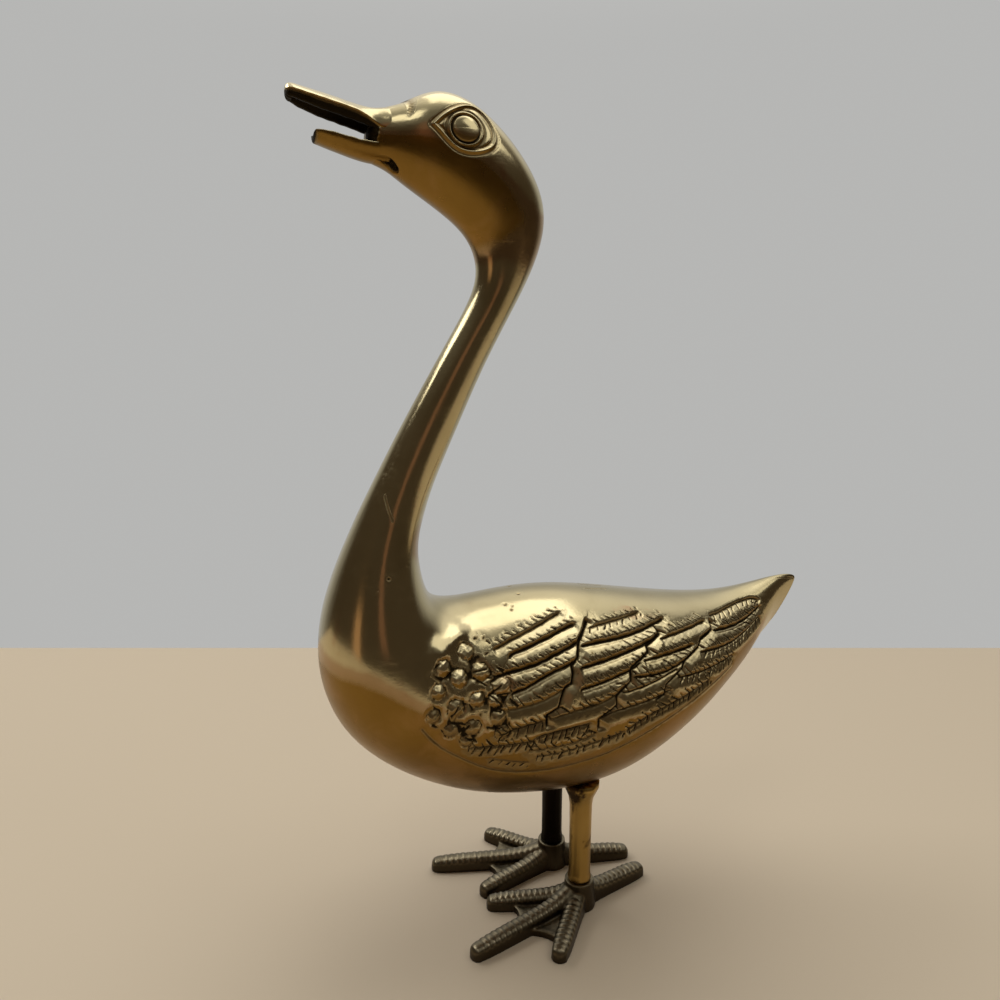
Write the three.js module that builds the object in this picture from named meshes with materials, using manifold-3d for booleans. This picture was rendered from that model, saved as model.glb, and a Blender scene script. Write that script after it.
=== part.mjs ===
// A polished brass goose, standing with its neck stretched up and its bill open.
// It looks along -X, +Z is up and its mid-plane is Y = 0. Its left side faces -Y.
// The origin is on the ground, under the middle of its length. Sizes are in millimetres.
// The hollow casting is two half shells brazed together on the mid-plane. Each cast leg is pegged
// into the belly, and each cast foot is held to its leg by a screw from under the sole.

import * as THREE from 'three';
import { mergeVertices } from 'three/addons/utils/BufferGeometryUtils.js';
import Module from 'manifold-3d';

const wasm = await Module();
wasm.setup();

// Body
const bellyHeight = 48;
const bodyLength = 197;
const bodyDepth = 78;
const bodyWidth = 66;

// Neck
const neckReach = 45;
const neckRise = 89;
const neckThickness = 14.5;

// Head
const headLength = 42;
const headRise = 45;
const headDepth = 32.7;
const headWidth = 25.6;

// Bill
const billLength = 26.6;
const billDepth = 16;
const billWidth = 12.8;
const billChannelDepth = 2.2;
const billRimWidth = 1.9;

// Eye
const eyeballWidth = 9.6;
const eyeballHeight = 8;
const eyeballBulge = 1.1;
const eyelidLength = 19.5;
const eyelidHeight = 12.4;
const eyelidThickness = 1.3;
const eyeballRoot = 1.5;

// Wing
const featherWidth = 5.2;
const featherHeight = 1;
const scaleWidth = 5.8;

// Casting
const castingWall = 3;
const clearance = 0.3;
const overrun = 1;

// Legs
const legSpacing = 26;
const legWidth = 8.8;
const legFlareWidth = 14;
const legFlareHeight = 5;
const legLipWidth = 9.6;
const legLipHeight = 1.6;
const pegWidth = 5.6;
const pegLength = 8.5;

// Feet
const footBossHeight = 11;
const footBossWidth = 11.2;
const toeWidth = 7;
const toeHeight = 6;
const webThickness = 3.2;
const middleToe = { length: 50, turn: 15 };
const innerToe = { length: 36, turn: -16 };
const outerToe = { length: 32.5, turn: 51 };
const hindToe = { length: 33, turn: 193 };

// Foot screws
const screwShankWidth = 3.5;
const screwHeadWidth = 6.6;
const screwHeadHeight = 1.8;
const screwRecess = 0.5;
const screwGrip = 9;
const screwSlotWidth = 0.9;
const screwSlotDepth = 0.8;

// Slices across the goose from the tail tip to the root of the bill. Each row is the place along
// and up of the slice's middle, its depth from back to belly, the turn in degrees of its upper end
// towards the tail, and its width.
const bodySliceShares = [
  [0.496, 0.762, 0.318, 33, 0.04],
  [0.489, 0.754, 0.338, 30.5, 0.046],
  [0.459, 0.734, 0.39, 25, 0.12],
  [0.419, 0.688, 0.437, 19, 0.26],
  [0.373, 0.64, 0.475, 14, 0.41],
  [0.32, 0.604, 0.512, 8.5, 0.576],
  [0.259, 0.568, 0.605, 2.5, 0.742],
  [0.193, 0.536, 0.724, 0, 0.879],
  [0.119, 0.503, 0.866, -1, 0.955],
  [0.043, 0.49, 0.965, -1, 1],
  [-0.038, 0.497, 1.01, 0.7, 1],
  [-0.117, 0.513, 0.988, 3, 0.985],
  [-0.188, 0.529, 0.935, 6.3, 0.955],
  [-0.254, 0.568, 0.847, 12.2, 0.924],
  [-0.312, 0.637, 0.766, 22.5, 0.894],
  [-0.359, 0.746, 0.697, 35.6, 0.848],
  [-0.381, 0.901, 0.602, 50, 0.773],
  [-0.381, 1.064, 0.488, 62, 0.652],
  [-0.368, 1.221, 0.367, 73, 0.515],
];
const neckSliceShares = [
  [0.098, 0.132, 1.56, 86, 1.86],
  [0.226, 0.275, 1.28, 104, 1.45],
  [0.381, 0.43, 1.2, 113, 1.24],
  [0.542, 0.584, 1.1, 114, 1.145],
  [0.707, 0.739, 1, 114, 1.05],
  [0.87, 0.879, 0.96, 111, 1.05],
  [0.992, 0.997, 1.055, 101, 1.13],
];
const headSliceShares = [
  [0.05, 0.2, 0.644, 86, 0.727],
  [0.054, 0.394, 0.838, 73, 0.828],
  [-0.032, 0.561, 0.935, 62.5, 0.922],
  [-0.181, 0.713, 0.995, 53, 0.984],
  [-0.348, 0.845, 1.025, 43.5, 1],
  [-0.52, 0.947, 1.01, 34, 0.96],
  [-0.687, 0.99, 0.88, 25, 0.836],
  [-0.836, 0.956, 0.61, 18.5, 0.64],
  [-0.955, 0.95, 0.5, 12.3, 0.5],
];

// Slices along the bill from inside the head to the tip. Each row is the place forward of the
// bill's root, the heights of the lower and the upper line above it, and the width.
const upperBillShares = [
  [-0.14, 0.02, 0.5, 0.97],
  [0.122, 0.094, 0.495, 0.98],
  [0.27, 0.175, 0.54, 0.95],
  [0.46, 0.25, 0.62, 0.92],
  [0.61, 0.315, 0.675, 0.88],
  [0.76, 0.39, 0.725, 0.82],
  [0.91, 0.48, 0.765, 0.66],
  [1, 0.59, 0.7, 0.3],
];
const lowerBillShares = [
  [-0.14, -0.52, -0.16, 0.93],
  [0.085, -0.5, -0.18, 0.92],
  [0.235, -0.45, -0.15, 0.9],
  [0.385, -0.38, -0.1, 0.87],
  [0.535, -0.305, -0.045, 0.83],
  [0.64, -0.25, -0.025, 0.78],
  [0.7, -0.215, -0.03, 0.74],
];
const upperBillRimShare = 0.5;
const channelStartShare = 0.06;
const channelEndShare = 0.93;

// The feathers of the wing as seen from the side, from the shoulder back to the tail. Each row is
// the root, the middle and the tip, each as a place along the body and up from the belly, and then
// the width.
const featherShares = [
  [-0.185, 0.892, -0.13, 0.918, -0.059, 0.954, 0.66],
  [-0.181, 0.85, -0.105, 0.876, -0.022, 0.914, 0.72],
  [-0.196, 0.803, -0.121, 0.821, -0.035, 0.867, 0.84],
  [-0.208, 0.732, -0.139, 0.747, -0.052, 0.809, 0.96],
  [-0.193, 0.647, -0.125, 0.674, -0.07, 0.726, 1],
  [-0.211, 0.572, -0.156, 0.587, -0.089, 0.633, 1.05],
  [-0.224, 0.499, -0.172, 0.504, -0.12, 0.538, 1],
  [-0.252, 0.433, -0.195, 0.423, -0.148, 0.446, 1],
  [-0.224, 0.358, -0.186, 0.353, -0.146, 0.362, 0.8],
  [-0.005, 0.91, 0.043, 0.905, 0.103, 0.908, 0.64],
  [-0.021, 0.854, 0.039, 0.855, 0.116, 0.863, 0.72],
  [-0.035, 0.79, 0.043, 0.794, 0.125, 0.817, 0.84],
  [-0.048, 0.713, 0.017, 0.723, 0.091, 0.759, 0.94],
  [-0.071, 0.628, -0.017, 0.638, 0.05, 0.674, 0.96],
  [-0.096, 0.546, -0.045, 0.551, 0.019, 0.579, 1],
  [-0.135, 0.454, -0.087, 0.459, -0.018, 0.479, 1],
  [-0.129, 0.358, -0.047, 0.374, 0.041, 0.426, 1],
  [0.138, 0.823, 0.193, 0.826, 0.242, 0.818, 0.7],
  [0.11, 0.758, 0.17, 0.762, 0.238, 0.769, 0.74],
  [0.069, 0.679, 0.132, 0.69, 0.203, 0.708, 0.9],
  [0.042, 0.588, 0.098, 0.603, 0.158, 0.636, 1],
  [-0.004, 0.49, 0.046, 0.515, 0.107, 0.546, 0.92],
  [0.054, 0.44, 0.11, 0.474, 0.164, 0.508, 0.7],
  [0.262, 0.79, 0.324, 0.8, 0.392, 0.805, 0.8],
  [0.226, 0.717, 0.294, 0.721, 0.376, 0.738, 0.8],
  [0.183, 0.641, 0.256, 0.644, 0.348, 0.659, 0.86],
  [0.135, 0.563, 0.205, 0.569, 0.289, 0.582, 0.86],
];
const featherEndShares = [
  [0, 0.3],
  [0.06, 0.72],
  [0.18, 0.96],
  [0.5, 1],
  [0.84, 0.96],
  [0.95, 0.7],
  [1, 0.3],
];
// The middles of the round scales of the shoulder
const scaleShares = [
  [-0.293, 0.819],
  [-0.259, 0.823],
  [-0.226, 0.787],
  [-0.301, 0.726],
  [-0.264, 0.736],
  [-0.237, 0.672],
  [-0.274, 0.649],
  [-0.307, 0.633],
  [-0.247, 0.585],
  [-0.28, 0.55],
  [-0.247, 0.505],
];

// The middle of the eye on the head, as shares of the head's length and rise from the neck's top.
const eyePlaceShares = [-0.365, 0.985];
const eyeTurn = 16;

// The slices between which the casting is hollow, and how far the flare of a leg has opened a
// third of its height below the belly
const cavityFromSlice = 4;
const cavityToSlice = 25;
const legFlareOpenShare = 0.3;

// Slices along a toe from the ankle to the tip: the place, the width and the height.
const toeShares = [
  [0, 1.1, 1.75],
  [0.1, 1.1, 1.6],
  [0.22, 1.06, 1.2],
  [0.4, 1, 1.02],
  [0.65, 1, 1],
  [0.86, 0.96, 0.88],
  [0.95, 0.82, 0.76],
  [1, 0.46, 0.5],
];
// Half of a toe's section, from the sole's edge to the crest: the width and the height.
const toeSectionShares = [
  [1, 0],
  [0.9, 0.62],
  [0.52, 0.92],
  [0, 1],
];
const webRootShare = 0.16;
const webMiddleShare = 0.64;
const webSideShare = 0.82;
const webHollowShare = 0.3;
const bossFootShare = 1.15;

// Steps of the surfaces
const sliceSteps = 72;
const aroundSteps = 18;
const cavitySliceSteps = 30;
const cavityAroundSteps = 10;
const scaleSides = 8;
const billSteps = 14;
const billAroundSteps = 8;
const toeSteps = 12;
const roundSides = 20;
const lidSides = 6;
const legSides = 10;

// Finishes
const brass = { color: 0xb08d4a, roughness: 0.28, metalness: 1 };
const legBrass = { color: 0x9c7634, roughness: 0.38, metalness: 1 };
const footBronze = { color: 0x4a4030, roughness: 0.55, metalness: 0.9 };
const screwBrass = { color: 0x8f7443, roughness: 0.45, metalness: 1 };

const legY = legSpacing / 2;
const neckFoot = bodySliceShares.at(-1);
const neckFootX = bodyLength * neckFoot[0];
const neckFootZ = bellyHeight + bodyDepth * neckFoot[1];
const neckTopX = neckFootX + neckReach;
const neckTopZ = neckFootZ + neckRise;
const billRootX = neckTopX + headLength * headSliceShares.at(-1)[0];
const billRootZ = neckTopZ + headRise * headSliceShares.at(-1)[1];

// Slices in real sizes: x, z, depth, turn in radians, half width
function realSlices() {
  const scaled = (rows, x, z, length, rise, depth, width) =>
    rows.map(([along, up, deep, turn, wide]) => [
      x + length * along,
      z + rise * up,
      depth * deep,
      THREE.MathUtils.degToRad(turn),
      (width / 2) * wide,
    ]);
  return [
    ...scaled(bodySliceShares, 0, bellyHeight, bodyLength, bodyDepth, bodyDepth, bodyWidth),
    ...scaled(neckSliceShares, neckFootX, neckFootZ, neckReach, neckRise, neckThickness, neckThickness),
    ...scaled(headSliceShares, neckTopX, neckTopZ, headLength, headRise, headDepth, headWidth),
  ];
}

// A smooth blend of rows of numbers, by a uniform cubic B-spline that starts at the first row and
// ends at the last. The place runs from 0 to 1.
function blendRows(rows, place) {
  const beyond = (end, next) => end.map((value, i) => 2 * value - next[i]);
  const all = [beyond(rows[0], rows[1]), ...rows, beyond(rows.at(-1), rows.at(-2))];
  const spans = rows.length - 1;
  const span = Math.min(Math.floor(place * spans), spans - 1);
  const f = place * spans - span;
  const weights = [
    (1 - f) ** 3 / 6,
    (3 * f ** 3 - 6 * f ** 2 + 4) / 6,
    (-3 * f ** 3 + 3 * f ** 2 + 3 * f + 1) / 6,
    f ** 3 / 6,
  ];
  return rows[0].map((_, i) => weights.reduce((sum, weight, k) => sum + weight * all[span + k][i], 0));
}

// A point of the goose's left side: place 0 to 1 from the tail to the bill, turn 0 to pi from the
// back to the belly. The surface lies deeper than the skin by the inset.
function skinPoint(place, turn, inset) {
  const [x, z, depth, lean, halfWidth] = blendRows(slices, place);
  const reach = (depth / 2 - inset) * Math.cos(turn);
  const onSeam = turn === 0 || turn === Math.PI;
  const y = onSeam ? 0 : -(halfWidth - inset) * Math.sin(turn);
  return new THREE.Vector3(x + Math.sin(lean) * reach, y, z + Math.cos(lean) * reach);
}

// A closed geometry through rings of points, each ring closed and with the same number of points
function loft(rings) {
  const count = rings[0].length;
  const middle = (ring) => ring.reduce((sum, p) => sum.add(p), new THREE.Vector3()).divideScalar(count);
  const points = [...rings.flat(), middle(rings[0]), middle(rings.at(-1))];
  const index = [];
  for (let i = 0; i < rings.length - 1; i += 1) {
    for (let j = 0; j < count; j += 1) {
      const a = i * count + j;
      const b = i * count + ((j + 1) % count);
      index.push(a, b, b + count, a, b + count, a + count);
    }
  }
  const lastRing = (rings.length - 1) * count;
  const firstMiddle = rings.length * count;
  for (let j = 0; j < count; j += 1) {
    const k = (j + 1) % count;
    index.push(k, j, firstMiddle);
    index.push(lastRing + j, lastRing + k, firstMiddle + 1);
  }
  const geometry = new THREE.BufferGeometry().setFromPoints(points);
  geometry.setIndex(index);
  return geometry;
}

function flipFaces(geometry) {
  const index = geometry.index.array;
  for (let i = 0; i < index.length; i += 3) {
    [index[i + 1], index[i + 2]] = [index[i + 2], index[i + 1]];
  }
  return geometry;
}

function mirrorToRight(geometry) {
  return flipFaces(geometry.clone().scale(1, -1, 1));
}

// The volume inside a closed geometry, negative where its faces point inwards
function signedVolume(geometry) {
  const position = geometry.attributes.position;
  const index = geometry.index.array;
  const corner = (i) => new THREE.Vector3().fromBufferAttribute(position, index[i]);
  let volume = 0;
  for (let i = 0; i < index.length; i += 3) {
    volume += corner(i).dot(corner(i + 1).cross(corner(i + 2))) / 6;
  }
  return volume;
}

// A solid that can be joined and cut
function solid(source) {
  const bare = source.clone();
  bare.deleteAttribute('normal');
  bare.deleteAttribute('uv');
  const merged = mergeVertices(bare);
  const corners = merged.index.array;
  const faces = [];
  for (let i = 0; i < corners.length; i += 3) {
    const [a, b, c] = corners.slice(i, i + 3);
    if (a !== b && b !== c && c !== a) faces.push(a, b, c);
  }
  merged.setIndex(faces);
  if (signedVolume(merged) < 0) flipFaces(merged);
  return new wasm.Manifold(new wasm.Mesh({
    numProp: 3,
    vertProperties: new Float32Array(merged.attributes.position.array),
    triVerts: new Uint32Array(merged.index.array),
  }));
}

function solidGeometry(body) {
  const mesh = body.getMesh();
  const geometry = new THREE.BufferGeometry();
  geometry.setAttribute('position', new THREE.BufferAttribute(new Float32Array(mesh.vertProperties), 3));
  geometry.setIndex(new THREE.BufferAttribute(new Uint32Array(mesh.triVerts), 1));
  return geometry;
}

// A round solid standing on the leg's axis, from a profile of [radius, z] points
function turned(profile, sides) {
  const points = profile.map(([radius, z]) => new THREE.Vector2(radius, z));
  const geometry = new THREE.LatheGeometry(points, sides);
  geometry.rotateX(Math.PI / 2);
  geometry.translate(0, -legY, 0);
  return solid(geometry);
}

function steps(count) {
  return Array.from({ length: count + 1 }, (_, i) => i / count);
}

const slices = realSlices();
const lastSlice = slices.length - 1;

// The left half of the body, neck and head, with its flat side on the mid-plane
function halfForm(inset, from, to, sliceCount, aroundCount, seamY) {
  const rings = steps(sliceCount).map((step) => {
    const place = THREE.MathUtils.lerp(from, to, step);
    const ring = steps(aroundCount).map((turn) => skinPoint(place, Math.PI * turn, inset));
    if (seamY > 0) {
      ring.push(ring.at(-1).clone().setY(seamY), ring[0].clone().setY(seamY));
    }
    return ring;
  });
  return solid(loft(rings));
}

// Half of the upper bill: a dome over straight rims, or the channel under it
function upperBillHalf(rimWidth, channel) {
  const from = channel ? channelStartShare : 0;
  const to = channel ? channelEndShare : 1;
  const rings = steps(billSteps).map((step) => {
    const row = blendRows(upperBillShares, THREE.MathUtils.lerp(from, to, step));
    const x = billRootX - billLength * row[0];
    const bottom = billRootZ + billDepth * row[1];
    const top = billRootZ + billDepth * row[2];
    const halfWidth = (billWidth / 2) * row[3] - rimWidth;
    if (channel) {
      const roof = Math.min(bottom + billChannelDepth, (bottom + top) / 2);
      const width = Math.max(halfWidth, rimWidth / 2);
      return [
        new THREE.Vector3(x, overrun, roof),
        new THREE.Vector3(x, -width / 2, roof),
        new THREE.Vector3(x, -width, bottom),
        new THREE.Vector3(x, -width, bottom - overrun),
        new THREE.Vector3(x, overrun, bottom - overrun),
      ];
    }
    const shoulder = THREE.MathUtils.lerp(bottom, top, upperBillRimShare);
    const dome = steps(billAroundSteps).map((turn) => {
      const angle = (Math.PI / 2) * turn;
      const y = turn === 0 ? 0 : -halfWidth * Math.sin(angle);
      return new THREE.Vector3(x, y, shoulder + (top - shoulder) * Math.cos(angle));
    });
    return [...dome, new THREE.Vector3(x, -halfWidth, bottom), new THREE.Vector3(x, 0, bottom)];
  });
  return solid(loft(rings));
}

// Half of the lower bill: flat on top and round below
function lowerBillHalf() {
  const rings = steps(billSteps).map((step) => {
    const row = blendRows(lowerBillShares, step);
    const x = billRootX - billLength * row[0];
    const bottom = billRootZ + billDepth * row[1];
    const top = billRootZ + billDepth * row[2];
    const halfWidth = (billWidth / 2) * row[3];
    const round = steps(billAroundSteps).map((turn) => {
      const angle = (Math.PI / 2) * turn;
      const y = turn === 0 ? 0 : -halfWidth * Math.sin(angle);
      return new THREE.Vector3(x, y, top - (top - bottom) * Math.cos(angle));
    });
    return [...round, new THREE.Vector3(x, 0, top)];
  });
  return solid(loft(rings));
}

// The eyeball, a low dome on the cheek, and the raised lid round it
function eye() {
  const x = neckTopX + headLength * eyePlaceShares[0];
  const z = neckTopZ + headRise * eyePlaceShares[1];
  const cheekY = -headWidth / 2;
  const turn = THREE.MathUtils.degToRad(eyeTurn);
  const ballDepth = eyeballBulge + eyeballRoot;
  const ball = new THREE.SphereGeometry(1, roundSides, roundSides / 2);
  ball.scale(eyeballWidth / 2, ballDepth, eyeballHeight / 2);
  ball.rotateY(turn);
  ball.translate(x, cheekY + ballDepth - eyeballBulge + clearance, z);
  const lid = new THREE.TorusGeometry(1, 2 * eyelidThickness / eyelidLength, lidSides, roundSides);
  lid.rotateX(Math.PI / 2);
  lid.scale(
    eyelidLength / 2 - eyelidThickness,
    eyelidThickness * eyelidLength / eyelidHeight,
    eyelidHeight / 2 - eyelidThickness,
  );
  lid.rotateY(turn);
  lid.translate(x, cheekY + eyelidThickness, z);
  return solid(ball).add(solid(lid));
}

// A column through the left side of the body, with an outline as seen from the side
function column(outline) {
  const geometry = new THREE.ExtrudeGeometry(new THREE.Shape(outline), {
    depth: bodyWidth,
    bevelEnabled: false,
    curveSegments: scaleSides,
  });
  geometry.rotateX(Math.PI / 2);
  return solid(geometry);
}

function sidePoint(along, up) {
  return new THREE.Vector2(bodyLength * along, bellyHeight + bodyDepth * up);
}

// A strip round the curve through the feather's root, middle and tip, with round ends
function feather([rootX, rootUp, middleX, middleUp, tipX, tipUp, wide]) {
  const curve = new THREE.SplineCurve([
    sidePoint(rootX, rootUp),
    sidePoint(middleX, middleUp),
    sidePoint(tipX, tipUp),
  ]);
  const edge = (side) => featherEndShares.map(([place, share]) => {
    const middle = curve.getPoint(place);
    const ahead = curve.getTangent(place);
    const out = side * share * wide * featherWidth / 2;
    return new THREE.Vector2(middle.x - ahead.y * out, middle.y + ahead.x * out);
  });
  return column([...edge(-1), ...edge(1).reverse()]);
}

function scale([along, up]) {
  const middle = sidePoint(along, up);
  const round = new THREE.EllipseCurve(middle.x, middle.y, scaleWidth / 2, scaleWidth / 2);
  return column(round.getPoints(scaleSides).slice(0, -1));
}

// The feathers and scales stand up off the body's side by the same height
function wing() {
  const raised = halfForm(-featherHeight, 0, 1, sliceSteps, aroundSteps, 0);
  const columns = [...featherShares.map(feather), ...scaleShares.map(scale)];
  return columns.reduce((all, next) => all.add(next)).intersect(raised);
}

function leftShell() {
  const skin = halfForm(0, 0, 1, sliceSteps, aroundSteps, 0);
  const cavityFrom = cavityFromSlice / lastSlice;
  const cavityTo = cavityToSlice / lastSlice;
  const cavity = halfForm(castingWall, cavityFrom, cavityTo, cavitySliceSteps, cavityAroundSteps, overrun);
  const socket = turned([
    [0, bellyHeight - overrun],
    [pegWidth / 2 + clearance, bellyHeight - overrun],
    [pegWidth / 2 + clearance, bellyHeight + pegLength + overrun],
    [0, bellyHeight + pegLength + overrun],
  ], roundSides);
  return skin
    .add(upperBillHalf(0, false))
    .add(lowerBillHalf())
    .add(eye())
    .add(wing())
    .subtract(upperBillHalf(billRimWidth, true))
    .subtract(cavity)
    .subtract(socket);
}

function leftLeg() {
  const top = bellyHeight + legFlareHeight;
  const shaft = turned([
    [0, footBossHeight],
    [(legLipWidth + legWidth) / 4, footBossHeight],
    [legLipWidth / 2, footBossHeight + legLipHeight / 2],
    [legWidth / 2, footBossHeight + 2 * legLipHeight],
    [legWidth / 2, bellyHeight - legFlareHeight],
    [THREE.MathUtils.lerp(legWidth, legFlareWidth, legFlareOpenShare) / 2, bellyHeight - legFlareHeight / 3],
    [legFlareWidth / 2, bellyHeight + legFlareHeight / 3],
    [legFlareWidth / 2, top],
    [0, top],
  ], legSides);
  const peg = turned([
    [0, bellyHeight - legFlareHeight],
    [pegWidth / 2, bellyHeight - legFlareHeight],
    [pegWidth / 2, bellyHeight + pegLength],
    [0, bellyHeight + pegLength],
  ], roundSides);
  const bore = turned([
    [0, footBossHeight - overrun],
    [screwShankWidth / 2 + clearance, footBossHeight - overrun],
    [screwShankWidth / 2 + clearance, footBossHeight + screwGrip + clearance],
    [0, footBossHeight + screwGrip + clearance],
  ], roundSides);
  const grownBody = halfForm(-clearance, 0, 1, sliceSteps, aroundSteps, overrun);
  return shaft.subtract(grownBody).add(peg).subtract(bore);
}

// A direction on the ground from the left ankle, turned outwards from straight ahead
function heading(turn) {
  const angle = THREE.MathUtils.degToRad(turn);
  return new THREE.Vector3(-Math.cos(angle), -Math.sin(angle), 0);
}

function toe({ length, turn }) {
  const ahead = heading(turn);
  const across = new THREE.Vector3(-ahead.y, ahead.x, 0);
  const rings = steps(toeSteps).map((step) => {
    const [place, wide, high] = blendRows(toeShares, step);
    const half = toeSectionShares.map(([out, up]) => [out * wide * toeWidth / 2, up * high * toeHeight]);
    const whole = [...half, ...half.slice(0, -1).reverse().map(([out, up]) => [-out, up])];
    return whole.map(([out, up]) => new THREE.Vector3(0, -legY, up)
      .addScaledVector(ahead, length * place)
      .addScaledVector(across, out));
  });
  return solid(loft(rings));
}

// The web between the middle toe and a side toe, with a hollow front edge
function web(side) {
  const ankle = new THREE.Vector3(0, -legY, 0);
  const onToe = ({ length, turn }, share) => ankle.clone().addScaledVector(heading(turn), length * share);
  const middleEnd = onToe(middleToe, webMiddleShare);
  const sideEnd = onToe(side, webSideShare);
  const root = onToe(hindToe, webRootShare);
  const hollow = middleEnd.clone().add(sideEnd).divideScalar(2).lerp(ankle, webHollowShare);
  const outline = new THREE.Shape();
  outline.moveTo(root.x, root.y);
  outline.lineTo(middleEnd.x, middleEnd.y);
  outline.quadraticCurveTo(hollow.x, hollow.y, sideEnd.x, sideEnd.y);
  outline.lineTo(root.x, root.y);
  const geometry = new THREE.ExtrudeGeometry(outline, {
    depth: webThickness,
    bevelEnabled: false,
    curveSegments: toeSteps / 2,
  });
  return solid(geometry);
}

function leftFoot() {
  const boss = turned([
    [0, 0],
    [bossFootShare * footBossWidth / 2, 0],
    [footBossWidth / 2, footBossHeight],
    [0, footBossHeight],
  ], roundSides);
  const headRadius = screwHeadWidth / 2 + clearance;
  const shankRadius = screwShankWidth / 2 + clearance;
  const headTop = screwRecess + screwHeadHeight + clearance;
  const screwHole = turned([
    [0, -overrun],
    [headRadius, -overrun],
    [headRadius, screwRecess + clearance],
    [shankRadius, headTop],
    [shankRadius, footBossHeight + overrun],
    [0, footBossHeight + overrun],
  ], roundSides);
  const trimWidth = 2 * footBossWidth;
  const topTrim = new THREE.BoxGeometry(trimWidth, trimWidth, footBossHeight);
  topTrim.translate(0, -legY, footBossHeight + footBossHeight / 2);
  return boss
    .add(toe(middleToe))
    .add(toe(innerToe))
    .add(toe(outerToe))
    .add(toe(hindToe))
    .add(web(innerToe))
    .add(web(outerToe))
    .subtract(screwHole)
    .subtract(solid(topTrim));
}

function leftFootScrew() {
  const body = turned([
    [0, screwRecess],
    [screwHeadWidth / 2, screwRecess],
    [screwShankWidth / 2, screwRecess + screwHeadHeight],
    [screwShankWidth / 2, footBossHeight + screwGrip],
    [0, footBossHeight + screwGrip],
  ], roundSides);
  const slot = new THREE.BoxGeometry(screwHeadWidth * 2, screwSlotWidth, screwSlotDepth * 2);
  slot.translate(0, -legY, screwRecess);
  return body.subtract(solid(slot));
}

// Each piece has a left and a right copy, which mirror each other
const pieces = [
  ['body_shell', leftShell(), brass],
  ['leg', leftLeg(), legBrass],
  ['foot', leftFoot(), footBronze],
  ['foot_screw', leftFootScrew(), screwBrass],
];

const goose = new THREE.Group();
for (const [name, body, finish] of pieces) {
  const left = solidGeometry(body);
  for (const [side, geometry] of [['left', left], ['right', mirrorToRight(left)]]) {
    const mesh = new THREE.Mesh(geometry, new THREE.MeshStandardMaterial(finish));
    mesh.name = `${side}_${name}`;
    goose.add(mesh);
  }
}

const extent = new THREE.Box3().setFromObject(goose);
goose.position.x = -(extent.min.x + extent.max.x) / 2;

export default goose;
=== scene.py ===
"""A polished brass goose ornament on a pale table top.

It looks along -X and its left side faces -Y. Its body is two half shells brazed together on the
mid-plane, with the wings, the eyes and the bill cast on them. Two legs are brazed into the belly,
and each foot is screwed to its leg. Lengths in the tables are in millimetres.
"""

import math

import bmesh
import bpy
import numpy as np
from mathutils import Matrix, Vector


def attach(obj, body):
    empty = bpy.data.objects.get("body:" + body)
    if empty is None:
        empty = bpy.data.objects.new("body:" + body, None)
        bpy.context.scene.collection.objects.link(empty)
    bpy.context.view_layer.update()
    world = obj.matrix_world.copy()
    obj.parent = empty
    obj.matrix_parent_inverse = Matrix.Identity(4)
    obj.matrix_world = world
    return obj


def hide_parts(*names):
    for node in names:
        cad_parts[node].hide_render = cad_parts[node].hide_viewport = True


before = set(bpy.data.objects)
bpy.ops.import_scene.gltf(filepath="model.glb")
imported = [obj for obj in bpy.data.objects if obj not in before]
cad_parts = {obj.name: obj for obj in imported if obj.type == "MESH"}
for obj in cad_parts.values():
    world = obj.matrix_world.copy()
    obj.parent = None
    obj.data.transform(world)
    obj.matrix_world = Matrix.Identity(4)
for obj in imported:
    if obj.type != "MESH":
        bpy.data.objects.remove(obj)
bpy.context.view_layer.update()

MM = 0.001
MIDDLE = 5.1303  # how far the goose's legs stand behind the middle of its length

# Slices from the tail tip to the root of the bill: the place along and up of the slice's middle,
# its depth from back to belly, the turn of its upper end towards the tail, and its width. Each
# part of the goose has its own lengths for the shares.
BODY = [
    (0.496, 0.762, 0.318, 33, 0.04), (0.489, 0.754, 0.338, 30.5, 0.046),
    (0.459, 0.734, 0.39, 25, 0.12), (0.419, 0.688, 0.437, 19, 0.26),
    (0.373, 0.64, 0.475, 14, 0.41), (0.32, 0.604, 0.512, 8.5, 0.576),
    (0.259, 0.568, 0.605, 2.5, 0.742), (0.193, 0.536, 0.724, 0, 0.879),
    (0.119, 0.503, 0.866, -1, 0.955), (0.043, 0.49, 0.965, -1, 1),
    (-0.038, 0.497, 1.01, 0.7, 1), (-0.117, 0.513, 0.988, 3, 0.985),
    (-0.188, 0.529, 0.935, 6.3, 0.955), (-0.254, 0.568, 0.847, 12.2, 0.924),
    (-0.312, 0.637, 0.766, 22.5, 0.894), (-0.359, 0.746, 0.697, 35.6, 0.848),
    (-0.381, 0.901, 0.602, 50, 0.773), (-0.381, 1.064, 0.488, 62, 0.652),
    (-0.368, 1.221, 0.367, 73, 0.515),
]
NECK = [
    (0.098, 0.132, 1.56, 86, 1.86), (0.226, 0.275, 1.28, 104, 1.45), (0.381, 0.43, 1.2, 113, 1.24),
    (0.542, 0.584, 1.1, 114, 1.145), (0.707, 0.739, 1, 114, 1.05), (0.87, 0.879, 0.96, 111, 1.05),
    (0.992, 0.997, 1.055, 101, 1.13),
]
HEAD = [
    (0.05, 0.2, 0.644, 86, 0.727), (0.054, 0.394, 0.838, 73, 0.828), (-0.032, 0.561, 0.935, 62.5, 0.922),
    (-0.181, 0.713, 0.995, 53, 0.984), (-0.348, 0.845, 1.025, 43.5, 1), (-0.52, 0.947, 1.01, 34, 0.96),
    (-0.687, 0.99, 0.88, 25, 0.836), (-0.836, 0.956, 0.61, 18.5, 0.64), (-0.955, 0.95, 0.5, 12.3, 0.5),
]
BODY_SIZE = (197, 78, 78, 66)
NECK_SIZE = (45, 89, 14.5, 14.5)
HEAD_SIZE = (42, 45, 32.7, 25.6)
BELLY = 48

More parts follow.
